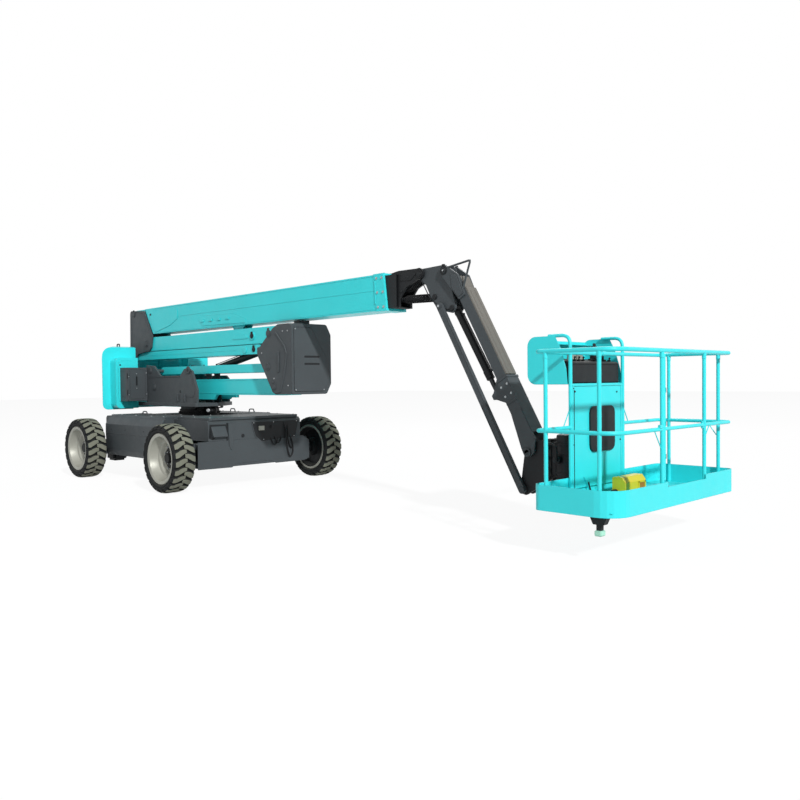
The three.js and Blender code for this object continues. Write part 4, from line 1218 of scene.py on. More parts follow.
# --- Pins, hoses and rams
def pin_end(form: Form, x: float, z: float, face: float, side: int, radius: float) -> None:
    """Adds what shows of a pin on a plate: its rim, its end and a keeper plate.

    Args:
        form: what it is added to.
        x: ahead of the slewing axis.
        z: above the ground.
        face: the plate's distance from the middle.
        side: 1 for the left face, -1 for the right.
        radius: the pin's radius.
    """

    def at(dx: float, out: float, dz: float = 0.0) -> Vector:
        """Gives a point near the pin."""
        return seat(x + dx, side * (face + out), z + dz)

    form.rod(at(0, -0.001), at(0, 0.006), radius + 0.014, 28, 0.002)
    form.rod(at(0, 0.004), at(0, 0.013), radius, 28, 0.003)
    keep = radius + 0.012
    low, high = at(-0.017, -0.001, keep - 0.012), at(0.017, 0.009, keep + 0.02)
    form.box(low, high, 0.002)
    form.rod(at(0, 0.008, keep + 0.004), at(0, 0.015, keep + 0.004), 0.007, 6, 0.001)


def hose(name: str, body: str, points: Sequence[Point], radius: float = 0.009) -> bpy.types.Object:
    """Runs a hose fixed at both ends, with its crimped fittings.

    Args:
        name: the piece's name.
        body: what it rides on.
        points: what it passes through, from the slewing axis.
        radius: the hose's radius.

    Returns:
        The piece.
    """
    path = smooth_path([seat(*p) for p in points])
    form = Form().tube(path, radius, 10)
    for here, there in ((path[0], path[2]), (path[-1], path[-3])):
        along = (there - here).normalized()
        form.rod(here - along * 0.004, here + along * 0.03, radius * 1.35, 14, 0.001)
        form.rod(here - along * 0.006, here + along * 0.012, radius * 1.6, 6, 0.001)
    return form.piece(name, body, Skin.HOSE)


@dataclass
class Ram:
    """A hydraulic cylinder: barrel with welded eye and gland, rod with its own eye.

    Attributes:
        name: as in its node names.
        base: barrel eye, ahead of the slewing axis and above the ground.
        eye: rod eye.
        barrel: barrel radius.
        rod: rod radius.
        length: from the barrel's eye to the gland's face.
        eye_radius: both eyes.
        eye_half: half the width of both eyes.
        pin: pin radius.
        rod_start: where the rod begins, from the barrel's eye; 0 for just past it.
        guard: radius of the coil guard round the rod; 0 for none.
        ports: 1 for a port pipe above the barrel, -1 below, 0 for none.
        finish: the rod's finish.
    """

    name: str
    base: tuple[float, float]
    eye: tuple[float, float]
    barrel: float
    rod: float
    length: float
    eye_radius: float
    eye_half: float
    pin: float
    rod_start: float = 0.0
    guard: float = 0.0
    ports: float = 1.0
    finish: Skin = Skin.NITRIDED

    def build(self) -> None:
        """Makes the barrel and the rod in place of their solids."""
        self.foot = seat(self.base[0], 0, self.base[1])
        self.tip = seat(self.eye[0], 0, self.eye[1])
        self.along = (self.tip - self.foot).normalized()
        self.span = (self.tip - self.foot).length
        self._barrel()
        self._rod()
        if self.ports:
            self._pipe()
        if self.guard:
            self._coil()

    def _body(self, half: str) -> str:
        """Names the body of the barrel or the rod."""
        return f"{self.name.split('_')[0]}_{half}"

    def _eye(self, form: Form, centre: Vector) -> None:
        """Adds an eye: a ring round the pin, its edges chamfered at both faces.

        Args:
            form: what it is added to.
            centre: the pin's middle.
        """
        h, r, p = self.eye_half, self.eye_radius, self.pin
        profile = [
            (p + 0.0008, -h), (r - 0.003, -h), (r, -h + 0.003), (r, h - 0.003), (r - 0.003, h),
            (p + 0.0008, h),
        ]
        form.lathe(profile, centre, (0, 1, 0), 40)

    def _barrel(self) -> None:
        """Turns the barrel with its end cap and gland, and adds its eye."""
        r, n, f = self.barrel, self.length, self.eye_radius
        bore = self.rod + 0.0006
        profile = [
            (0.0001, f * 0.75), (r * 0.8, f * 0.75), (r - 0.001, f + 0.004), (r - 0.001, f + 0.026),
            (r - 0.004, f + 0.029), (r - 0.004, n - 0.085), (r, n - 0.082), (r, n - 0.03),
            (r - 0.003, n - 0.027), (r - 0.003, n - 0.022), (r, n - 0.019), (r, n - 0.003), (r - 0.003, n),
            (bore + 0.005, n), (bore + 0.003, n + 0.003), (bore, n + 0.003), (bore, f + 0.03),
            (0.0001, f + 0.03),
        ]
        form = Form().lathe(profile, self.foot, self.along, 44)
        self._eye(form, self.foot)
        made = form.piece(f"{self.name}_barrel_body", self._body("barrel"), Skin.BLACK)
        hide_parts(f"{self.name}_barrel")

    def _pipe(self) -> None:
        """Runs the port pipe along the barrel."""
        r, n, f = self.barrel, self.length, self.eye_radius
        up = Vector((-self.along.z, 0, self.along.x)) * self.ports
        pipe = Form()
        a = self.foot + self.along * (f + 0.06)
        b = self.foot + self.along * (n - 0.06)
        for p in (a, b):
            pipe.rod(p + up * (r - 0.006), p + up * (r + 0.014), 0.012, 6, 0.001)
        lift = up * (r + 0.009)
        pipe.tube(bend_path([a + up * r, a + lift, b + lift, b + up * r], 0.008), 0.005, 10)
        pipe.piece(f"{self.name}_port_pipe", self._body("barrel"), Skin.BLACK)

    def _rod(self) -> None:
        """Turns the rod and its welded eye."""
        r, e = self.rod, self.eye_radius
        start = self.rod_start or e + 0.04
        end = self.span - e * 0.6
        profile = [(0.0001, start), (r - 0.002, start), (r, start + 0.003), (r, end), (0.0001, end)]
        rod = Form().lathe(profile, self.foot, self.along, 40)
        made = rod.piece(f"{self.name}_chromed_rod", self._body("rod"), self.finish)
        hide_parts(f"{self.name}_rod")
        head = Form()
        self._eye(head, self.tip)
        near = self.span - e - 0.03
        head.lathe([
            (r + 0.0005, near), (r + 0.005, near + 0.004), (r + 0.006, self.span - e * 0.85),
            (r + 0.0005, self.span - e * 0.85),
        ], self.foot, self.along, 40)
        head.piece(f"{self.name}_rod_eye", self._body("rod"), Skin.BLACK)

    def _coil(self) -> None:
        """Winds the coil guard that hides the rod; it slides over the barrel."""
        side = Vector((0, 1, 0))
        up = self.along.cross(side)
        first, last = self.length + 0.02, self.span - self.eye_radius - 0.015
        turns = int((last - first) / 0.018)
        path = []
        for k in range(turns * 14 + 1):
            a = 2 * math.pi * k / 14
            out = side * math.cos(a) + up * math.sin(a)
            here = first + (last - first) * k / (turns * 14)
            path.append(self.foot + self.along * here + out * self.guard)
        coil = Form().tube(path, 0.0055, 6)
        coil.piece(f"{self.name}_rod_guard", self._body("rod"), Skin.HOSE)


# --- Chassis
@dataclass
class Chassis:
    """Covers, brackets, hubs and fasteners of the undercarriage.

    Attributes:
        deck: top of the deck covers.
        nose: end face over the steering axle.
        wing: outer face of the side boxes.
        axle: both axles' distance from the slewing axis.
        hub: height of the wheels' centres.
    """

    deck: float = 0.83
    nose: float = 1.3
    wing: float = 0.85
    axle: float = 1.12
    hub: float = 0.391

    def build(self) -> None:
        """Makes every piece of the undercarriage."""
        self._end_face()
        self._deck_handles()
        self._side_boxes()
        self._hubs()
        self._bearing()
        self._hoses()

    def _end_face(self) -> None:
        """Covers the end face over the steering axle."""
        x = seat(self.nose, 0, 0).x
        form = Form()
        skirt = [
            (-0.8, 0.56), (-0.8, 0.244), (-0.35, 0.239), (-0.273, 0.282), (0.208, 0.282), (0.282, 0.242),
            (0.72, 0.244), (0.8, 0.27), (0.8, 0.5), (0.7, 0.56),
        ]
        form.prism(skirt, Plane.YZ, x - 0.001, x + 0.0045, 0.001)
        form.prism([
            (-0.4, 0.768), (-0.315, 0.768), (-0.328, 0.5), (-0.357, 0.44), (-0.388, 0.5),
        ], Plane.YZ, x - 0.001, x + 0.014, 0.003)
        form.prism([
            (x - 0.001, 0.74), (x + 0.055, 0.625), (x + 0.055, 0.61), (x - 0.001, 0.6),
        ], Plane.XZ, -0.62, -0.43, 0.003)
        hatch = [(-0.07, 0.764), (0.634, 0.764), (0.58, 0.548), (0.069, 0.52), (-0.02, 0.59)]
        for a, b in zip(hatch, hatch[1:] + hatch[:1]):
            form.rod((x + 0.003, *a), (x + 0.003, *b), 0.006, 8)
        form.piece("end_face_covers", "chassis", Skin.SLATE)
        dark = Form().prism(hatch, Plane.YZ, x - 0.001, x + 0.0055, 0.001)
        dark.prism([
            (-0.64, 0.755), (-0.42, 0.75), (-0.42, 0.69), (-0.6, 0.575), (-0.655, 0.6),
        ], Plane.YZ, x - 0.001, x + 0.003, 0.001)
        dark.box((x - 0.001, -0.417, 0.47), (x + 0.003, -0.4, 0.765), 0.001)
        dark.piece("end_face_hatch", "chassis", Skin.BLACK)
        plate = Form().box((x - 0.001, 0.03, 0.655), (x + 0.008, 0.115, 0.71), 0.002)
        plate.piece("end_face_blank_plate", "chassis", Skin.WHEEL)
        knob = Form()
        knob.rod((x + 0.003, 0.219, 0.69), (x + 0.012, 0.219, 0.69), 0.026, 28, 0.003)
        knob.rod((x + 0.011, 0.219, 0.69), (x + 0.02, 0.219, 0.69), 0.015, 20, 0.003)
        knob.rod((x - 0.001, -0.192, 0.605), (x + 0.006, -0.192, 0.605), 0.022, 28, 0.003)
        knob.rod((x + 0.005, -0.192, 0.605), (x + 0.0065, -0.192, 0.605), 0.013, 20, 0.001)
        knob.piece("end_face_fittings", "chassis", Skin.BLACK)
        spots = [
            (x + 0.0035, y, z)
            for y, z in ((-0.04, 0.75), (0.25, 0.75), (0.6, 0.75), (0.56, 0.565), (0.1, 0.545))
        ]
        bolts_at(spots, 0.006, (1, 0, 0)).piece("end_face_bolts", "chassis", Skin.ZINC)

    def _deck_handles(self) -> None:
        """Lays seam strips and bolts on the deck."""
        z = self.deck
        form = Form()
        for side in (-1, 1):
            for x in (-0.55, -0.05, 0.35):
                form.prism(
                    rectangle(seat(x - 0.09, 0, 0).x, side * 0.4, seat(x + 0.09, 0, 0).x, side * 0.74),
                    Plane.XY, z - 0.0005, z + 0.002, 0.001,
                )
        form.piece("deck_pressings", "chassis", Skin.SLATE)
        spots = []
        for side in (-1, 1):
            for x in (-0.9, -0.65, -0.25, 0.15, 0.46):
                spots += [seat(x, side * 0.765, z), seat(x, side * 0.36, z)]
        for x in (0.6, 0.9, 1.24):
            spots += [seat(x, y, z) for y in (-0.6, -0.2, 0.2, 0.6)]
        bolts_at(spots, 0.0075).piece("deck_bolts", "chassis", Skin.ZINC)

    def _side_boxes(self) -> None:
        """Adds folds and drain holes down the side boxes."""
        form = Form()
        for side in (-1, 1):
            y = side * self.wing
            form.rod(seat(-0.955, y, 0.588), seat(0.51, y, 0.588), 0.003, 8)
            a, b = seat(0.5, y - side * 0.05, 0.376), seat(0.523, y + side * 0.003, 0.7)
            form.box(a, b, 0.002)
            form.prism([
                (side * 0.79, 0.799), (side * 0.852, 0.706), (side * 0.84, 0.7), (side * 0.775, 0.797),
            ], Plane.YZ, seat(0.512, 0, 0).x, seat(0.528, 0, 0).x, 0.001)
        form.piece("side_box_folds", "chassis", Skin.SLATE)
        holes = Form()
        for side in (-1, 1):
            for x, z in ((-0.8, 0.64), (-0.4, 0.64), (0.1, 0.64), (0.42, 0.5)):
                holes.across(x, z, side * (self.wing - 0.01), side * (self.wing + 0.0005), 0.009, 18, 0.001)
        holes.piece("side_box_holes", "chassis", Skin.BLACK)

    def _hubs(self) -> None:
        """Adds ribs, rings and brackets to the drive hubs, and caps to the knuckles."""
        form = Form()
        step = 2 * math.pi / 8
        for side in (-1, 1):
            one = Form().box((0.062, -0.015, -0.005), (0.1, 0.015, 0.005), 0.002)
            centre = seat(-self.axle, side * 0.905, self.hub)
            form.mesh_of(REPEATER.run(one, Skin.BLACK, 8, centre, turn=(0, step, 0)))
            form.across(-self.axle, self.hub, side * 0.88, side * 0.925, 0.066, 36, 0.004)
            form.across(-self.axle, self.hub, side * 0.72, side * 0.91, 0.088, 36, 0.006)
            form.across(-self.axle, self.hub, side * 0.7, side * 0.74, 0.104, 36, 0.004)
            low, high = seat(-1.2, side * 0.55, 0.2), seat(-0.97, side * 0.74, 0.34)
            form.box(low, high, 0.03)
            form.across(-1.1, 0.27, side * 0.52, side * 0.56, 0.06, 28, 0.004)
        form.piece("drive_hub_ribs", "chassis", Skin.BLACK)
        for side, name in ((1, "left"), (-1, "right")):
            kingpin = Form()
            for z, up in ((0.526, 1), (0.256, -1)):
                foot = seat(self.axle, side * 0.84, z)
                kingpin.rod(foot, foot + Vector((0, 0, up * 0.006)), 0.034, 28, 0.003)
            kingpin.across(self.axle, self.hub, side * 0.75, side * 0.93, 0.068, 36, 0.004)
            kingpin.piece(f"kingpin_caps_{name}", f"knuckle_{name}", Skin.BLACK)

    def _bearing(self) -> None:
        """Cuts the look of teeth round the slewing bearing."""
        centre = seat(0, 0, 0)
        ring = Form().lathe([
            (0.2555, 0.84), (0.262, 0.842), (0.262, 0.868), (0.2555, 0.87),
        ], centre, (0, 0, 1), 72)
        step = 2 * math.pi / 60
        tooth = Form().box((0.258, -0.0065, 0.842), (0.27, 0.0065, 0.868), 0.001)
        ring.mesh_of(REPEATER.run(tooth, Skin.BLACK, 60, centre, turn=(0, 0, step)))
        ring.piece("slew_bearing_teeth", "chassis", Skin.BLACK)

    def _hoses(self) -> None:
        """Hangs the steering and drive hoses under the end face."""
        hose("steer_hose_a", "chassis", [
            (1.29, 0.2, 0.58), (1.312, 0.215, 0.52), (1.317, 0.25, 0.47), (1.312, 0.29, 0.5),
            (1.295, 0.31, 0.565),
        ], 0.007)
        hose("steer_hose_b", "chassis", [
            (1.292, 0.26, 0.58), (1.318, 0.27, 0.53), (1.321, 0.3, 0.49), (1.318, 0.34, 0.52),
            (1.295, 0.36, 0.57),
        ], 0.007)
        hose("steer_hose_c", "chassis", [
            (1.295, 0.4, 0.74), (1.325, 0.42, 0.66), (1.33, 0.43, 0.46), (1.33, 0.47, 0.32),
            (1.328, 0.52, 0.36), (1.322, 0.52, 0.48), (1.295, 0.5, 0.57),
        ])
        hose("steer_hose_d", "chassis", [
            (1.295, 0.46, 0.72), (1.32, 0.455, 0.62), (1.322, 0.46, 0.5), (1.32, 0.5, 0.42),
            (1.29, 0.55, 0.44),
        ], 0.008)


# --- Turntable
@dataclass
class Turntable:
    """Control boxes, hoods, counterweight trim and the slewing drive.

    Attributes:
        plate: outer face of the side plates.
        box: front face of the control boxes' doors.
    """

    plate: float = 0.35
    box: float = -0.742

    def build(self) -> None:
        """Makes every piece on the turntable."""
        self._fins()
        self._doors()
        self._hoods()
        self._ballast()
        self._drive()

    def _fins(self) -> None:
        """Adds stiffeners, bosses and pin ends to the side plates."""
        form = Form()
        for x in (0.072, 0.25):
            a, b = seat(x, -self.plate - 0.022, 1.0), seat(x + 0.012, -self.plate + 0.002, 1.1)
            form.box(a, b, 0.002)
        edge = [
            (0.3, 1.06), (0.45, 1.06), (0.5, 1.13), (0.4, 1.33), (0.31, 1.345), (0.24, 1.3), (0.2, 1.2),
            (0.22, 1.1),
        ]
        form.cheek(edge, -1, self.plate - 0.001, self.plate + 0.004, 0.03, 4)
        form.across(0.349, 1.401, -self.plate - 0.018, -self.plate + 0.001, 0.046, 36, 0.004)
        form.box(seat(-0.7, -self.plate - 0.003, 1.31), seat(0.12, -self.plate + 0.001, 1.328), 0.002)
        for side in (-1, 1):
            pin_end(form, -0.55, 1.185, self.plate, side, 0.03)
            pin_end(form, -0.65, 1.405, self.plate, side, 0.022)
        form.piece("side_plate_stiffeners", "turntable", Skin.SLATE)
        dark = Form()
        dark.across(0.349, 1.401, -self.plate - 0.02, -self.plate - 0.017, 0.022, 24, 0.001)
        dark.across(0.13, 1.13, -self.plate - 0.002, -self.plate + 0.001, 0.02, 24, 0.001)
        dark.piece("side_plate_holes", "turntable", Skin.BLACK)

    def _doors(self) -> None:
        """Adds latch, hinges and edge bolts to the control boxes."""
        x = seat(self.box, 0, 0).x
        for side, name in ((-1, "right"), (1, "left")):
            body = f"control_door_{name}"
            door = Form().prism(
                round_corners(rectangle(side * 0.385, 1.03, side * 0.605, 1.424), 0.03, 5), Plane.YZ,
                x - 0.0005, x + 0.004, 0.003,
            )
            door.piece(f"door_pressing_{name}", body, Skin.SLATE)
            latch = Form().prism(
                round_corners(rectangle(side * 0.498, 1.21, side * 0.522, 1.335), 0.011, 5), Plane.YZ,
                x + 0.003, x + 0.0055, 0.001,
            )
            latch.piece(f"door_latch_slot_{name}", body, Skin.BLACK)
            spots = [(x + 0.0035, side * 0.51, z) for z in (1.175, 1.37)]
            spots += [(x, side * 0.618, z) for z in (1.334, 1.089)]
            spots += [(x, side * 0.368, z) for z in (1.38, 1.094)]
            bolts_at(spots, 0.005, (1, 0, 0)).piece(f"door_bolts_{name}", body, Skin.ZINC)
            hinge = Form()
            for z in (1.12, 1.34):
                hinge.rod(
                    (x - 0.004, side * 0.636, z - 0.035), (x - 0.004, side * 0.636, z + 0.035), 0.0058, 16,
                    0.001,
                )
            hinge.piece(f"door_hinges_{name}", "turntable", Skin.BLACK)
            step = Form()
            for z in (1.06, 1.4):
                step.box(seat(-0.92, side * 0.6415, z), seat(-0.8, side * 0.6435, z + 0.012), 0.001)
            step.piece(f"box_side_ribs_{name}", "turntable", Skin.SLATE)

    def _hoods(self) -> None:
        """Draws the hoods' door seams and adds their locks."""
        x = seat(-0.95, 0, 0).x
        for side, name in ((-1, "right"), (1, "left")):
            outer = round_corners(rectangle(side * 0.41, 0.985, side * 0.668, 1.548), 0.045, 6)
            lid = Form().prism(outer, Plane.YZ, x - 0.001, x + 0.005, 0.003)
            lid.piece(f"hood_lid_{name}", "turntable", Skin.CYAN)
            lock = Form()
            lock.rod((x + 0.004, side * 0.64, 1.49), (x + 0.009, side * 0.64, 1.49), 0.012, 24, 0.002)
            lock.rod((x + 0.008, side * 0.64, 1.49), (x + 0.0105, side * 0.64, 1.49), 0.006, 16, 0.001)
            lock.piece(f"hood_lock_{name}", "turntable", Skin.BLACK)

    def _ballast(self) -> None:
        """Adds lifting eyes and bolts to the counterweight."""
        form = Form()
        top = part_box("counterweight")[1].z
        for y in (-0.5, 0.5):
            loop = [
                seat(-1.32, y, top - 0.02), seat(-1.32, y, top + 0.03), seat(-1.25, y, top + 0.03),
                seat(-1.25, y, top - 0.02),
            ]
            form.tube(bend_path(loop, 0.02, 6), 0.008, 12)
        form.piece("ballast_lifting_eyes", "turntable", Skin.BLACK)
        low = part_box("counterweight")[0]
        spots = [(low.x, y, z) for y in (-0.22, 0.22) for z in (1.2, 1.45)]
        bolts_at(spots, 0.018, (-1, 0, 0)).piece("ballast_bolts", "turntable", Skin.ZINC)

    def _drive(self) -> None:
        """Makes the slewing drive: gearbox, motor, silver end cap and its hoses."""
        form = Form()
        z = 0.89
        form.lathe([
            (0.0001, 0.843), (0.05, 0.843), (0.056, 0.85), (0.056, 0.874), (0.0595, 0.878), (0.0595, 0.905),
            (0.055, 0.91), (0.055, 0.9395), (0.0001, 0.9395),
        ], seat(0.335, -0.015, 0), (0, 0, 1), 48)
        a, b = seat(0.335, -0.015, z), seat(0.472, -0.152, z)
        way = (b - a).normalized()
        n = (b - a).length
        form.lathe([
            (0.0001, 0.05), (0.041, 0.05), (0.041, 0.075), (0.036, 0.08), (0.036, 0.1), (0.0415, 0.105),
            (0.0415, n - 0.025), (0.036, n - 0.018), (0.036, n - 0.004), (0.032, n), (0.0001, n),
        ], a, way, 44)
        for k in range(4):
            p = a + way * (0.115 + 0.014 * k)
            form.lathe([(0.040, 0.0), (0.0425, 0.001), (0.0425, 0.004), (0.040, 0.005)], p, way, 44)
        made = form.piece("slew_drive", "turntable", Skin.BLACK)
        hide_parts("slew_motor")
        cap = Form()
        cap.lathe([
            (0.0001, n - 0.004), (0.021, n - 0.004), (0.0235, n), (0.0235, n + 0.016), (0.020, n + 0.0195),
            (0.0001, n + 0.0195),
        ], a, way, 36)
        cap.piece("slew_motor_cap", "turntable", Skin.ZINC)
        hose("slew_hose_a", "turntable", [
            (0.43, -0.06, 0.915), (0.47, -0.05, 0.93), (0.5, 0.01, 0.92), (0.47, 0.06, 0.93),
            (0.4, 0.07, 0.939),
        ], 0.008)
        hose("slew_hose_b", "turntable", [
            (0.36, -0.11, 0.915), (0.35, -0.16, 0.93), (0.3, -0.2, 0.92), (0.22, -0.2, 0.9),
            (0.17, -0.15, 0.905),
        ], 0.008)


# --- Riser
@dataclass
class Riser:
    """Pins, stiffeners and covers of the folding riser.

    Attributes:
        half: outer face of the middle casting's side plates.
        front: its end cover.
        arm_pins: height of the upper arm's pins.
        link_pins: height of the upper link's pins.
    """

    half: float = 0.252
    front: float = 2.362
    arm_pins: float = 1.787
    link_pins: float = 1.627

    def build(self) -> None:
        """Makes every piece of the riser."""
        self._middle_plates()
        self._end_cover()
        self._arms()
        self._upright()
        self._hoses()

    def _middle_plates(self) -> None:
        """Adds welded ribs and pin ends to the middle casting."""
        form = Form()
        rib = [(2.075, 1.79), (2.235, 1.632), (2.268, 1.549), (2.228, 1.344), (2.152, 1.13), (2.055, 1.118)]
        slot = [(2.105, 1.345), (2.135, 1.345), (2.14, 1.58), (2.11, 1.58)]
        for side in (-1, 1):
            path = [seat(x, side * (self.half + 0.001), z) for x, z in rib]
            for a, b in zip(path, path[1:]):
                form.rod(a, b, 0.01, 10)
            form.cheek(slot, side, self.half - 0.001, self.half + 0.012, 0.012, bevel=0.003)
            for x, z, r in ((2.02, 1.185, 0.03), (1.92, 1.405, 0.022), (1.935, self.arm_pins, 0.03)):
                pin_end(form, x, z, self.half, side, r)
        form.piece("middle_casting_ribs", "mid_pivot", Skin.SLATE)
        places = ((2.2, 1.8), (2.03, 1.28), (1.8, 1.57), (2.29, 1.2), (2.29, 1.8))
        spots = [seat(x, -self.half, z) for x, z in places]
        bolts_at(spots, 0.0065, (0, -1, 0)).piece("middle_casting_bolts", "mid_pivot", Skin.ZINC)

    def _end_cover(self) -> None:
        """Presses the end cover: raised field, two slots, corner bolts."""
        x = seat(self.front, 0, 0).x
        field_outline = round_corners([
            (-0.225, 1.13), (0.2, 1.13), (0.262, 1.23), (0.262, 1.45), (0.02, 1.84), (-0.225, 1.84),
        ], 0.03, 5)
        form = Form().prism(field_outline, Plane.YZ, x - 0.002, x + 0.006, 0.004)
        form.piece("end_cover_pressing", "mid_pivot", Skin.SLATE)
        slots = Form()
        for z in (1.517, 1.437):
            outline = round_corners(rectangle(-0.085, z - 0.011, 0.13, z + 0.011), 0.0105, 5)
            slots.prism(outline, Plane.YZ, x + 0.005, x + 0.0075, 0.001)
        slots.piece("end_cover_slots", "mid_pivot", Skin.BLACK)
        spots = [(x + 0.0055, y, z) for y, z in ((-0.205, 1.15), (0.19, 1.15), (-0.205, 1.82))]
        bolts_at(spots, 0.006, (1, 0, 0)).piece("end_cover_bolts", "mid_pivot", Skin.ZINC)

    def _arms(self) -> None:
        """Adds bosses, stiffener plates and edge strips to the arms."""
        arm = Form()
        shape = [(0.969, 1.76), (1.053, 1.808), (1.269, 1.813), (1.373, 1.77), (1.3, 1.76), (1.05, 1.76)]
        for side in (-1, 1):
            y = side * 0.12
            arm.cheek(shape, side, 0.119, 0.126, 0.01, 3)
            arm.across(1.427, self.arm_pins, y - side * 0.001, y + side * 0.009, 0.05, 36, 0.003)
            arm.across(-1.15, self.arm_pins, y - side * 0.001, y + side * 0.003, 0.055, 36, 0.002)
        arm.piece("upper_arm_plates", "upper_arm", Skin.CYAN)
        link = Form()
        for side in (-1, 1):
            y = side * 0.12
            link.across(1.265, self.link_pins, y - side * 0.001, y + side * 0.008, 0.042, 36, 0.003)
            link.box(seat(-1.3, y - 0.002, 1.625), seat(1.1, y + 0.002, 1.629), 0.001)
        link.piece("upper_link_bosses", "upper_link", Skin.CYAN)
        for name, x, z, face, body in (
            ("upper_arm_pins", 1.427, self.arm_pins, 0.129, "upper_arm"),
            ("upper_link_pins", 1.449, self.link_pins, 0.12, "upper_link"),
        ):
            pins = Form()
            for side in (-1, 1):
                pin_end(pins, x, z, face, side, 0.018)
            pins.piece(name, body, Skin.BLACK)
        low = Form()
        for side in (-1, 1):
            y = side * 0.13
            for x0, x1, z in ((-0.5, 1.9, 1.105), (-0.5, 1.9, 1.262)):
                low.box(seat(x0, y - 0.0025, z), seat(x1, y + 0.0025, z + 0.006), 0.001)
        low.piece("lower_arm_welds", "lower_arm", Skin.CYAN)
        strip = Form()
        for side in (-1, 1):
            strip.box(seat(-0.3, side * 0.05 - 0.02, 1.278), seat(0.14, side * 0.05 + 0.02, 1.292), 0.003)
        strip.piece("lower_arm_wear_strips", "lower_arm", Skin.BLACK)

    def _upright(self) -> None:
        """Adds pin ends and edge ribs to the upright."""
        form = Form()
        for side in (-1, 1):
            pin_end(form, -1.15, self.arm_pins, 0.148, side, 0.025)
            pin_end(form, -1.535, self.link_pins, 0.148, side, 0.025)
            pin_end(form, -1.513, 2.231, 0.148, side, 0.03)
            y = side * 0.149
            for a, b in (
                ((-1.59, 2.27), (-1.24, 2.245)), ((-1.24, 2.245), (-1.015, 1.9)), ((-1.6, 2.2), (-1.61, 1.7)),
            ):
                form.rod(seat(a[0], y, a[1]), seat(b[0], y, b[1]), 0.006, 10)
        form.piece("upright_pins_and_ribs", "upright", Skin.SLATE)

    def _hoses(self) -> None:
        """Runs the riser's hoses between its arms."""
        for k in range(3):
            y = -0.064 - 0.018 * k
            hose(f"riser_hose_{k}", "upright", [
                (-1.09, y, 1.93), (-1.06, y, 1.955), (-1.0 + 0.01 * k, y, 1.945), (-0.97, y, 1.9),
                (-0.99, y, 1.86),
            ], 0.008)


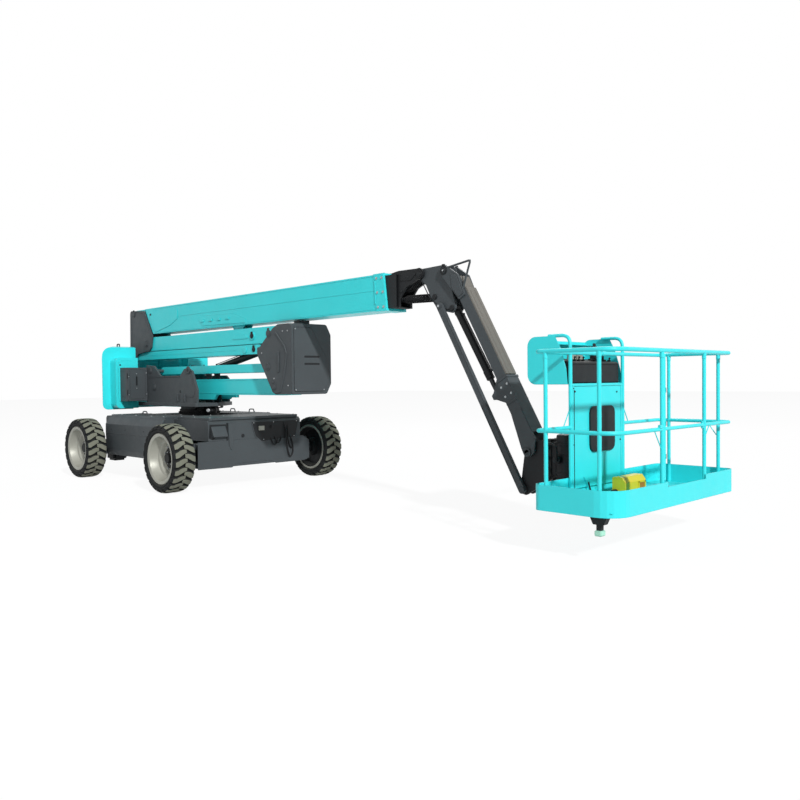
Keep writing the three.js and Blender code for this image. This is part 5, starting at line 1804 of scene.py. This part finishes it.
# --- Boom
@dataclass
class Boom:
    """Plates, plugs and collar of the telescoping boom.

    Attributes:
        half: outer face of its sides.
        top: its top face.
    """

    half: float = 0.13
    top: float = 2.288

    def build(self) -> None:
        """Makes every piece of the boom."""
        self._rear_plates()
        self._plugs()
        self._collar()
        self._head()
        self._nose()

    def _rear_plates(self) -> None:
        """Adds the rear stiffener plates and their pins."""
        form = Form()
        rear = [
            (-1.12, 2.262), (-0.42, 2.262), (-0.3, 2.235), (-0.3, 2.1), (-0.5, 2.02), (-0.86, 1.955),
            (-0.945, 1.955),
        ]
        for side in (-1, 1):
            form.cheek(rear, side, self.half - 0.001, self.half + 0.005, 0.03)
            y = side * (self.half + 0.0005)
            for z in (1.945, 2.13, 2.272):
                form.box(seat(-0.93, y - 0.002, z - 0.002), seat(3.56, y + 0.002, z + 0.002), 0.001)
        form.piece("boom_side_plates", "main_boom", Skin.CYAN)
        pins = Form()
        for side in (-1, 1):
            pins.across(1.04, 1.845, side * 0.06, side * 0.068, 0.03, 28, 0.003)
            pins.across(-1.04, 2.2, side * self.half, side * (self.half + 0.012), 0.016, 20, 0.003)
        pins.piece("boom_pins", "main_boom", Skin.BLACK)

    def _plugs(self) -> None:
        """Adds the embossed plate and its four oval plugs on each side."""
        form = Form()
        plate = [(0.245, 2.04), (0.245, 2.099), (1.035, 2.079), (1.305, 2.0), (1.305, 1.952), (0.33, 1.965)]
        for side in (-1, 1):
            form.cheek(plate, side, self.half - 0.001, self.half + 0.004, 0.02, 4)
        form.piece("boom_embossed_plates", "main_boom", Skin.CYAN)
        plugs = Form()
        oval = round_corners(rectangle(-0.038, -0.017, 0.038, 0.017), 0.0165, 5)
        for side in (-1, 1):
            y0, y1 = (-0.001, 0.009) if side > 0 else (-0.009, 0.001)
            one = Form().prism(oval, Plane.XZ, y0, y1, 0.004)
            start = seat(0.34, side * (self.half + 0.004), 2.028)
            plugs.mesh_of(REPEATER.run(one, Skin.CYAN, 4, start, (0.194, 0, 0)))
        plugs.piece("boom_oval_plugs", "main_boom", Skin.CYAN)

    def _collar(self) -> None:
        """Adds bolts, wear-pad screws and the flared lip to the front collar."""
        side_bolts = []
        for side in (-1, 1):
            for x, z in ((3.6, 2.25), (3.675, 2.25), (3.62, 1.965), (3.7, 1.965), (3.61, 2.11), (3.69, 2.11)):
                side_bolts.append(seat(x, side * (self.half + 0.006), z))
        form = bolts_at([p for p in side_bolts if p.y > 0], 0.0105, (0, 1, 0))
        right = bolts_at([p for p in side_bolts if p.y < 0], 0.0105, (0, -1, 0))
        form.mesh_of(right.into_mesh("collar_bolts", Skin.ZINC))
        over = bolts_at(
            [seat(3.6 + dx, y, self.top + 0.006) for dx in (0, 0.06) for y in (-0.09, 0.0, 0.09)], 0.0105,
        )
        form.mesh_of(over.into_mesh("collar_bolts", Skin.ZINC))
        form.piece("boom_collar_bolts", "main_boom", Skin.ZINC)
        strip = Form()
        for side in (-1, 1):
            y = side * (self.half + 0.006)
            strip.box(seat(3.572, y - 0.003, 2.0), seat(3.58, y + 0.003, 2.22), 0.001)
        strip.piece("boom_collar_lips", "main_boom", Skin.CYAN)

    def _nose(self) -> None:
        """Adds plates, pins and screws to the boom's nose."""
        form = Form()
        shape = [(3.88, 2.2), (3.9, 2.27), (4.05, 2.275), (4.1, 2.25), (4.02, 2.19)]
        for side in (-1, 1):
            pin_end(form, 4.138, 2.24, 0.088, side, 0.026)
            y = side * 0.089
            form.cheek(shape, side, 0.087, 0.094, 0.015, 4)
            form.across(3.98, 2.225, y, y + side * 0.008, 0.014, 20, 0.002)
            form.across(3.9, 2.1, y, y + side * 0.008, 0.014, 20, 0.002)
        for y in (-0.05, 0, 0.05):
            form.box(seat(3.82, y - 0.012, 2.295), seat(4.0, y + 0.012, 2.302), 0.003)
        form.piece("boom_nose_fittings", "fly_boom", Skin.BLACK)
        for k, y in enumerate((-0.036, -0.012, 0.012, 0.036)):
            hose(f"nose_hose_{k}", "fly_boom", [
                (3.8, y, 2.1), (3.9, y, 2.105), (3.98, y, 2.13), (4.03, y, 2.18), (4.06, y * 0.7, 2.215),
            ], 0.0085)

    def _head(self) -> None:
        """Adds pins, ribs and ram pin bosses to the head's plates."""
        form = Form()
        for side in (-1, 1):
            pin_end(form, 4.447, 2.242, 0.088, side, 0.026)
            y = side * 0.061
            for a, b in (
                ((4.13, 2.2), (4.24, 2.02)), ((4.24, 2.02), (4.36, 1.92)), ((4.36, 1.92), (4.53, 1.87)),
            ):
                form.rod(seat(a[0], y, a[1]), seat(b[0], y, b[1]), 0.005, 10)
            form.across(4.311, 2.014, y - side * 0.02, y + side * 0.012, 0.026, 28, 0.003)
            form.across(4.522, 1.896, y - side * 0.02, y + side * 0.012, 0.026, 28, 0.003)
        form.piece("head_pins_and_ribs", "head", Skin.BLACK)
        light = Form()
        for side in (-1, 1):
            light.across(4.447, 2.242, side * 0.1, side * 0.106, 0.009, 6, 0.001)
        light.across(4.391, 1.922, -0.1035, -0.109, 0.013, 6, 0.001)
        light.piece("head_pin_keepers", "head", Skin.ZINC)


# --- Jib
@dataclass
class Jib:
    """Pins, sleeve, covers and hoses of the jib and its rotator.

    Attributes:
        root: the arm's pin.
        link: the lower link's pin.
        slope: degrees above the horizontal, at rest.
        length: between the pins.
        rotator: the rotator's axis, ahead of the slewing axis.
    """

    root: tuple[float, float] = (4.447, 2.242)
    link: tuple[float, float] = (4.391, 1.922)
    slope: float = -60.3
    length: float = 1.856
    rotator: float = 5.7

    def build(self) -> None:
        """Makes every piece of the jib."""
        self._arm()
        self._link()
        self._support()
        self._mount()

    def at(self, along: float, across: float, y: float, link: bool = False) -> Vector:
        """Gives a point from its place along and across the jib.

        Args:
            along: metres from the upper pin.
            across: metres above the pins' line.
            y: metres to the left.
            link: whether it is measured on the lower link.

        Returns:
            The point in the frame.
        """
        a = math.radians(self.slope)
        x, z = self.link if link else self.root
        return seat(
            x + along * math.cos(a) - across * math.sin(a), y, z + along * math.sin(a) + across * math.cos(a),
        )

    def _slab(
        self, form: Form, shape: Sequence[Point], low: float, high: float, radius: float = 0.01,
    ) -> None:
        """Adds a plate given along and across the jib.

        Args:
            form: what it is added to.
            shape: its corners, from the upper pin.
            low: its right face.
            high: its left face.
            radius: the corners' radius.
        """
        points = [self.at(p[0], p[1], 0) for p in shape]
        outline = round_corners([(p.x, p.z) for p in points], radius, 4)
        form.prism(outline, Plane.XZ, low, high, 0.002)

    def _arm(self) -> None:
        """Adds the top cover, sleeve steps, pin ends and rods of the arm."""
        cover = Form()
        # the top cover takes a lighter slate than the arm's sides: painted light on the lit top face
        self._slab(cover, rectangle(0.27, 0.1175, 1.17, 0.136), -0.068, 0.068, 0.002)
        self._slab(cover, rectangle(0.14, 0.1175, 0.27, 0.121), -0.062, 0.062, 0.001)
        for y in (-0.03, 0.03):
            self._slab(cover, rectangle(0.3, 0.1355, 1.16, 0.139), y - 0.004, y + 0.004, 0.001)
        cover.piece("jib_top_cover", "jib_arm", Skin.LIT_TOP_SLATE)
        form = Form()
        for side in (-1, 1):
            for lo, hi in ((1.178, 1.2), (1.4, 1.415)):
                y0, y1 = sorted((side * 0.079, side * 0.085))
                self._slab(form, rectangle(lo, 0.008, hi, 0.128), y0, y1, 0.002)
        self._slab(form, rectangle(1.178, 0.127, 1.2, 0.134), -0.085, 0.085, 0.001)
        for side in (-1, 1):
            y0, y1 = sorted((side * 0.0875, side * 0.093))
            self._slab(form, [
                (0.05, 0.06), (0.13, 0.105), (0.31, 0.09), (0.31, 0.03), (0.2, 0.0),
            ], y0, y1, 0.015)
            end = self.at(self.length, 0, side * 0.084)
            form.rod(end, end + Vector((0, side * 0.012, 0)), 0.038, 32, 0.003)
        form.piece("jib_sleeve_and_plates", "jib_arm", Skin.SLATE)
        spots = [self.at(s, c, -0.0795) for s in (1.25, 1.34) for c in (0.03, 0.1)]
        bolts_at(spots, 0.008, (0, -1, 0)).piece("jib_sleeve_bolts", "jib_arm", Skin.ZINC)
        lines = Form()
        for c in (0.045, 0.065, 0.085):
            path = [
                self.at(0.33, c, 0.08), self.at(0.36, c, 0.09), self.at(1.14, c, 0.09),
                self.at(1.17, c, 0.08),
            ]
            lines.tube(bend_path(path, 0.012, 4), 0.006, 10)
        lines.piece("jib_hydraulic_lines", "jib_arm", Skin.HOSE)

    def _link(self) -> None:
        """Adds bosses and edge strips to the lower link."""
        form = Form()
        for along in (0.0, self.length):
            p = self.at(along, 0, -0.0955, link=True)
            form.rod(p, p + Vector((0, -0.005, 0)), 0.03, 32, 0.002)
        for across in (-0.026, 0.026):
            a, b = self.at(0.08, across, -0.0965, True), self.at(self.length - 0.08, across, -0.0965, True)
            form.rod(a, b, 0.003, 8)
        form.piece("jib_link_bosses", "jib_link", Skin.SLATE)

    def _support(self) -> None:
        """Adds the rotator's bands, worm housing, pins and hose loop."""
        x = self.rotator
        form = Form()
        for z in (0.47, 0.55, 0.63, 0.7):
            form.lathe([
                (0.0895, z), (0.094, z + 0.002), (0.094, z + 0.014), (0.0895, z + 0.016),
            ], seat(x, 0, 0), (0, 0, 1), 44)
        form.across(x - 0.02, 0.59, -0.05, -0.135, 0.034, 28, 0.004)
        form.across(x - 0.02, 0.59, -0.13, -0.15, 0.022, 6, 0.002)
        for side in (-1, 1):
            pin_end(form, 5.367, 0.63, 0.058, side, 0.024)
            pin_end(form, 5.311, 0.31, 0.058, side, 0.02)
        form.piece("rotator_bands", "support", Skin.BLACK)
        spots = [seat(5.588, y, z) for y in (-0.045, 0.045) for z in (0.47, 0.7)]
        bolts_at(spots, 0.008, (1, 0, 0)).piece("rotator_bolts", "support", Skin.ZINC)
        hose("rotator_hose_a", "support", [
            (5.56, -0.075, 0.67), (5.6, -0.12, 0.72), (5.68, -0.14, 0.7), (5.7, -0.15, 0.64),
            (5.69, -0.145, 0.6),
        ], 0.009)
        hose("rotator_hose_b", "support", [
            (5.56, -0.075, 0.6), (5.6, -0.13, 0.56), (5.64, -0.16, 0.5), (5.6, -0.13, 0.44),
            (5.56, -0.075, 0.43),
        ], 0.009)

    def _mount(self) -> None:
        """Adds the rotator's lid, its bolts and the loop of hoses to the basket."""
        x = self.rotator
        form = Form()
        form.lathe([
            (0.0001, 0.7745), (0.083, 0.7745), (0.083, 0.782), (0.076, 0.788), (0.03, 0.79), (0.0001, 0.79),
        ], seat(x, 0, 0), (0, 0, 1), 48)
        form.lathe([
            (0.0001, 0.3995), (0.083, 0.3995), (0.083, 0.392), (0.076, 0.386), (0.0001, 0.386),
        ], seat(x, 0, 0), (0, 0, 1), 48)
        form.piece("rotator_lids", "platform", Skin.BLACK)
        step = 2 * math.pi / 8
        one = bolt(0.008)
        bmesh.ops.translate(one.mesh, verts=one.mesh.verts, vec=(0.058, 0, 0))
        ring = Form()
        ring.mesh_of(REPEATER.run(one, Skin.ZINC, 8, seat(x, 0, 0.788), turn=(0, 0, step)))
        ring.piece("rotator_lid_bolts", "platform", Skin.ZINC)
        for k in range(3):
            y = -0.03 + 0.03 * k
            hose(f"basket_hose_{k}", "platform", [
                (5.76, y, 0.775), (5.82, y, 0.84 + 0.01 * k), (5.92, y, 0.85), (5.98, y, 0.8),
                (5.99, y, 0.74),
            ], 0.0085)


# --- Studio
@dataclass
class Studio:
    """Floor, soft lamps, sky and camera.

    Attributes:
        lens: focal length in millimetres on a 36 mm sensor.
        eye: the camera's place.
        right: the camera's right-hand direction.
        up: its upward direction.
        back: the direction away from what it looks at.
    """

    lens: float = 35.6065
    eye: tuple[float, float, float] = (6.87398, -5.48065, 1.24686)
    right: tuple[float, float, float] = (0.70359379, 0.71051713, -0.01100813)
    up: tuple[float, float, float] = (-0.01021529, 0.02560299, 0.99962)
    back: tuple[float, float, float] = (0.71052897, -0.70321397, 0.02527225)

    def build(self) -> None:
        """Makes the whole studio."""
        self._camera()
        self._floor()
        self._sky()
        self._lamp("key_softbox", (50.0, -18.6, 32.4), (0.0, 0.0, 1.0), 3.4, 35500)
        self._lamp("fill_softbox", (0.0, -9.0, 13.0), (0.5, 0.0, 1.0), 6.0, 200)
        self._lamp("rim_softbox", (-4.0, 11.0, 9.0), (0.0, 0.0, 1.0), 6.0, 380)

    def _camera(self) -> None:
        """Sets the camera."""
        data = bpy.data.cameras.new("camera")
        data.lens, data.sensor_width = self.lens, 36.0
        data.clip_start, data.clip_end = 0.1, 200
        made = bpy.data.objects.new("camera", data)
        columns = Matrix((self.right, self.up, self.back)).transposed().to_4x4()
        made.matrix_world = Matrix.Translation(self.eye) @ columns
        bpy.context.scene.collection.objects.link(made)
        bpy.context.scene.camera = made

    def _white(
        self, tree: bpy.types.NodeTree, shade: bpy.types.NodeSocket, plain: str,
    ) -> bpy.types.NodeSocket:
        """Mixes a shader with plain white for what the eye or a mirror sees of it.

        Args:
            tree: the node tree.
            shade: the shader's output.
            plain: the kind of node that gives the white.

        Returns:
            The mixed shader's output.
        """
        path = node(tree, "LightPath")
        mirrored = node(
            tree, "Math", {0: path["Is Glossy Ray"], 1: path["Is Transmission Ray"]}, operation="MAXIMUM",
        )
        seen = node(tree, "Math", {0: path["Is Camera Ray"], 1: mirrored[0]}, operation="MAXIMUM")
        white = node(tree, plain, {"Color": (1, 1, 1, 1), "Strength": 1.0})
        mixed = node(tree, "MixShader", {0: seen[0], 1: shade, 2: white[0]})
        return mixed[0]

    def _sky(self) -> None:
        """Lights the sky evenly and shows it white."""
        world = bpy.data.worlds.new("sky")
        world.use_nodes = True
        tree = world.node_tree
        tree.nodes.clear()
        glow = node(tree, "Background", {"Color": (0.93, 0.97, 1, 1), "Strength": 0.23})
        mixed = self._white(tree, glow[0], "Background")
        node(tree, "OutputWorld", {"Surface": mixed})
        bpy.context.scene.world = world

    def _floor(self) -> None:
        """Lays a pale floor that keeps the machine's shadow."""
        paint = bpy.data.materials.new("pale_studio_floor")
        paint.use_nodes = True
        tree = paint.node_tree
        tree.nodes.clear()
        place = node(tree, "TexCoord")
        mottle = node(tree, "TexNoise", {"Vector": place["Object"], "Scale": 1.3})
        tint = node(tree, "MapRange", {"Value": mottle[0], "To Min": 0.9, "To Max": 0.93})
        matt = node(tree, "BsdfDiffuse", {"Color": tint["Result"], "Roughness": 0.6})
        path = node(tree, "LightPath")
        white = node(tree, "Emission", {"Color": (1, 1, 1, 1), "Strength": 1.0})
        # the floor shows mostly white and a little of its own shade,
        # so the shadow stays while the rest reads as white
        share = node(tree, "Math", {0: path["Is Camera Ray"], 1: 0.93}, operation="MULTIPLY")
        seen = node(tree, "Math", {0: share[0], 1: path["Is Glossy Ray"]}, operation="MAXIMUM")
        mixed = node(tree, "MixShader", {0: seen[0], 1: matt[0], 2: white[0]})
        node(tree, "OutputMaterial", {"Surface": mixed[0]})
        mesh = bpy.data.meshes.new("floor")
        r = 60.0
        mesh.from_pydata([(-r, -r, 0), (r, -r, 0), (r, r, 0), (-r, r, 0)], [], [(0, 1, 2, 3)])
        mesh.materials.append(paint)
        floor = bpy.data.objects.new("floor", mesh)
        bpy.context.scene.collection.objects.link(floor)

    def _lamp(self, name: str, place: Point, aim: Point, size: float, power: float) -> None:
        """Hangs one soft lamp.

        Args:
            name: the lamp's name.
            place: where it hangs.
            aim: what it points at.
            size: its diameter.
            power: in watts.
        """
        data = bpy.data.lights.new(name, "AREA")
        data.shape, data.size, data.energy = "DISK", size, power
        lamp = bpy.data.objects.new(name, data)
        way = Vector(aim) - Vector(place)
        lamp.matrix_world = Matrix.Translation(place) @ way.to_track_quat("-Z", "Y").to_matrix().to_4x4()
        bpy.context.scene.collection.objects.link(lamp)


# --- Frame
DRESS: dict[Skin, tuple[str, ...]] = {
    Skin.CYAN: (
        "counterweight", "hood_left", "hood_right", "lower_riser_arm", "lower_riser_link", "upper_riser_arm",
        "upper_riser_link", "main_boom", "platform_floor", "console_panel", "guard_rails", "platform_gate",
        "console_box",
    ),
    Skin.SLATE: (
        "chassis_frame", "deck_cover_right", "deck_cover_left", "deck_cover_front", "turntable_frame",
        "control_box_right", "control_box_left", "control_box_door_right", "control_box_door_left",
        "mid_pivot_box", "upright", "boom_head", "jib_arm", "jib_link", "steer_axle",
    ),
    Skin.BLACK: (
        "fly_boom", "steering_knuckle_left", "steering_knuckle_right", "tie_rod", "slew_bearing",
        "slew_motor", "platform_support", "platform_mount",
    ),
    Skin.PLASTIC: ("document_box", "console_desk"), Skin.YELLOW: ("foot_pedal",),
}


def dress(nodes: dict[str, bpy.types.Object]) -> None:
    """Gives each solid of the frame its finish.

    Args:
        nodes: the frame's objects by name.
    """
    for skin, names in DRESS.items():
        for name in names:
            data = nodes[name].data
            data.materials.clear()
            data.materials.append(FINISHES.get(skin))
            data.polygons.foreach_set("material_index", [0] * len(data.polygons))


def main() -> None:
    """Builds the studio and every sub-assembly, in order."""
    logging.basicConfig(level=logging.INFO, format="%(name)s: %(message)s")
    for thing in list(bpy.data.objects):
        bpy.data.objects.remove(thing)
    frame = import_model()
    Studio().build()
    dress(frame["nodes"])
    for corner in ("front_left", "front_right", "rear_left", "rear_right"):
        Wheel(corner).build()
    Chassis().build()
    Turntable().build()
    Riser().build()
    rams = (
        Ram("riser_cylinder", (0.347, 1.401), (1.55, 1.627), 0.046, 0.026, 1.13, 0.04, 0.044, 0.022),
        Ram(
            "lift_cylinder", (-1.003, 1.845), (1.04, 1.845), 0.05, 0.03, 1.15, 0.042, 0.04, 0.02, ports=-1.0,
            finish=Skin.CHROME,
        ),
        Ram(
            "level_cylinder", (3.43, 2.04), (4.311, 2.014), 0.028, 0.016, 0.45, 0.026, 0.028, 0.016,
            rod_start=0.395, guard=0.036, ports=0,
        ),
        Ram("jib_cylinder", (4.522, 1.896), (5.01094, 1.0959), 0.038, 0.022, 0.76, 0.034, 0.028, 0.018),
    )
    for ram in rams:
        ram.build()
    Boom().build()
    Jib().build()
    Platform().build()
    bpy.context.scene.view_settings.view_transform = "Standard"


if __name__ == "__main__":
    main()
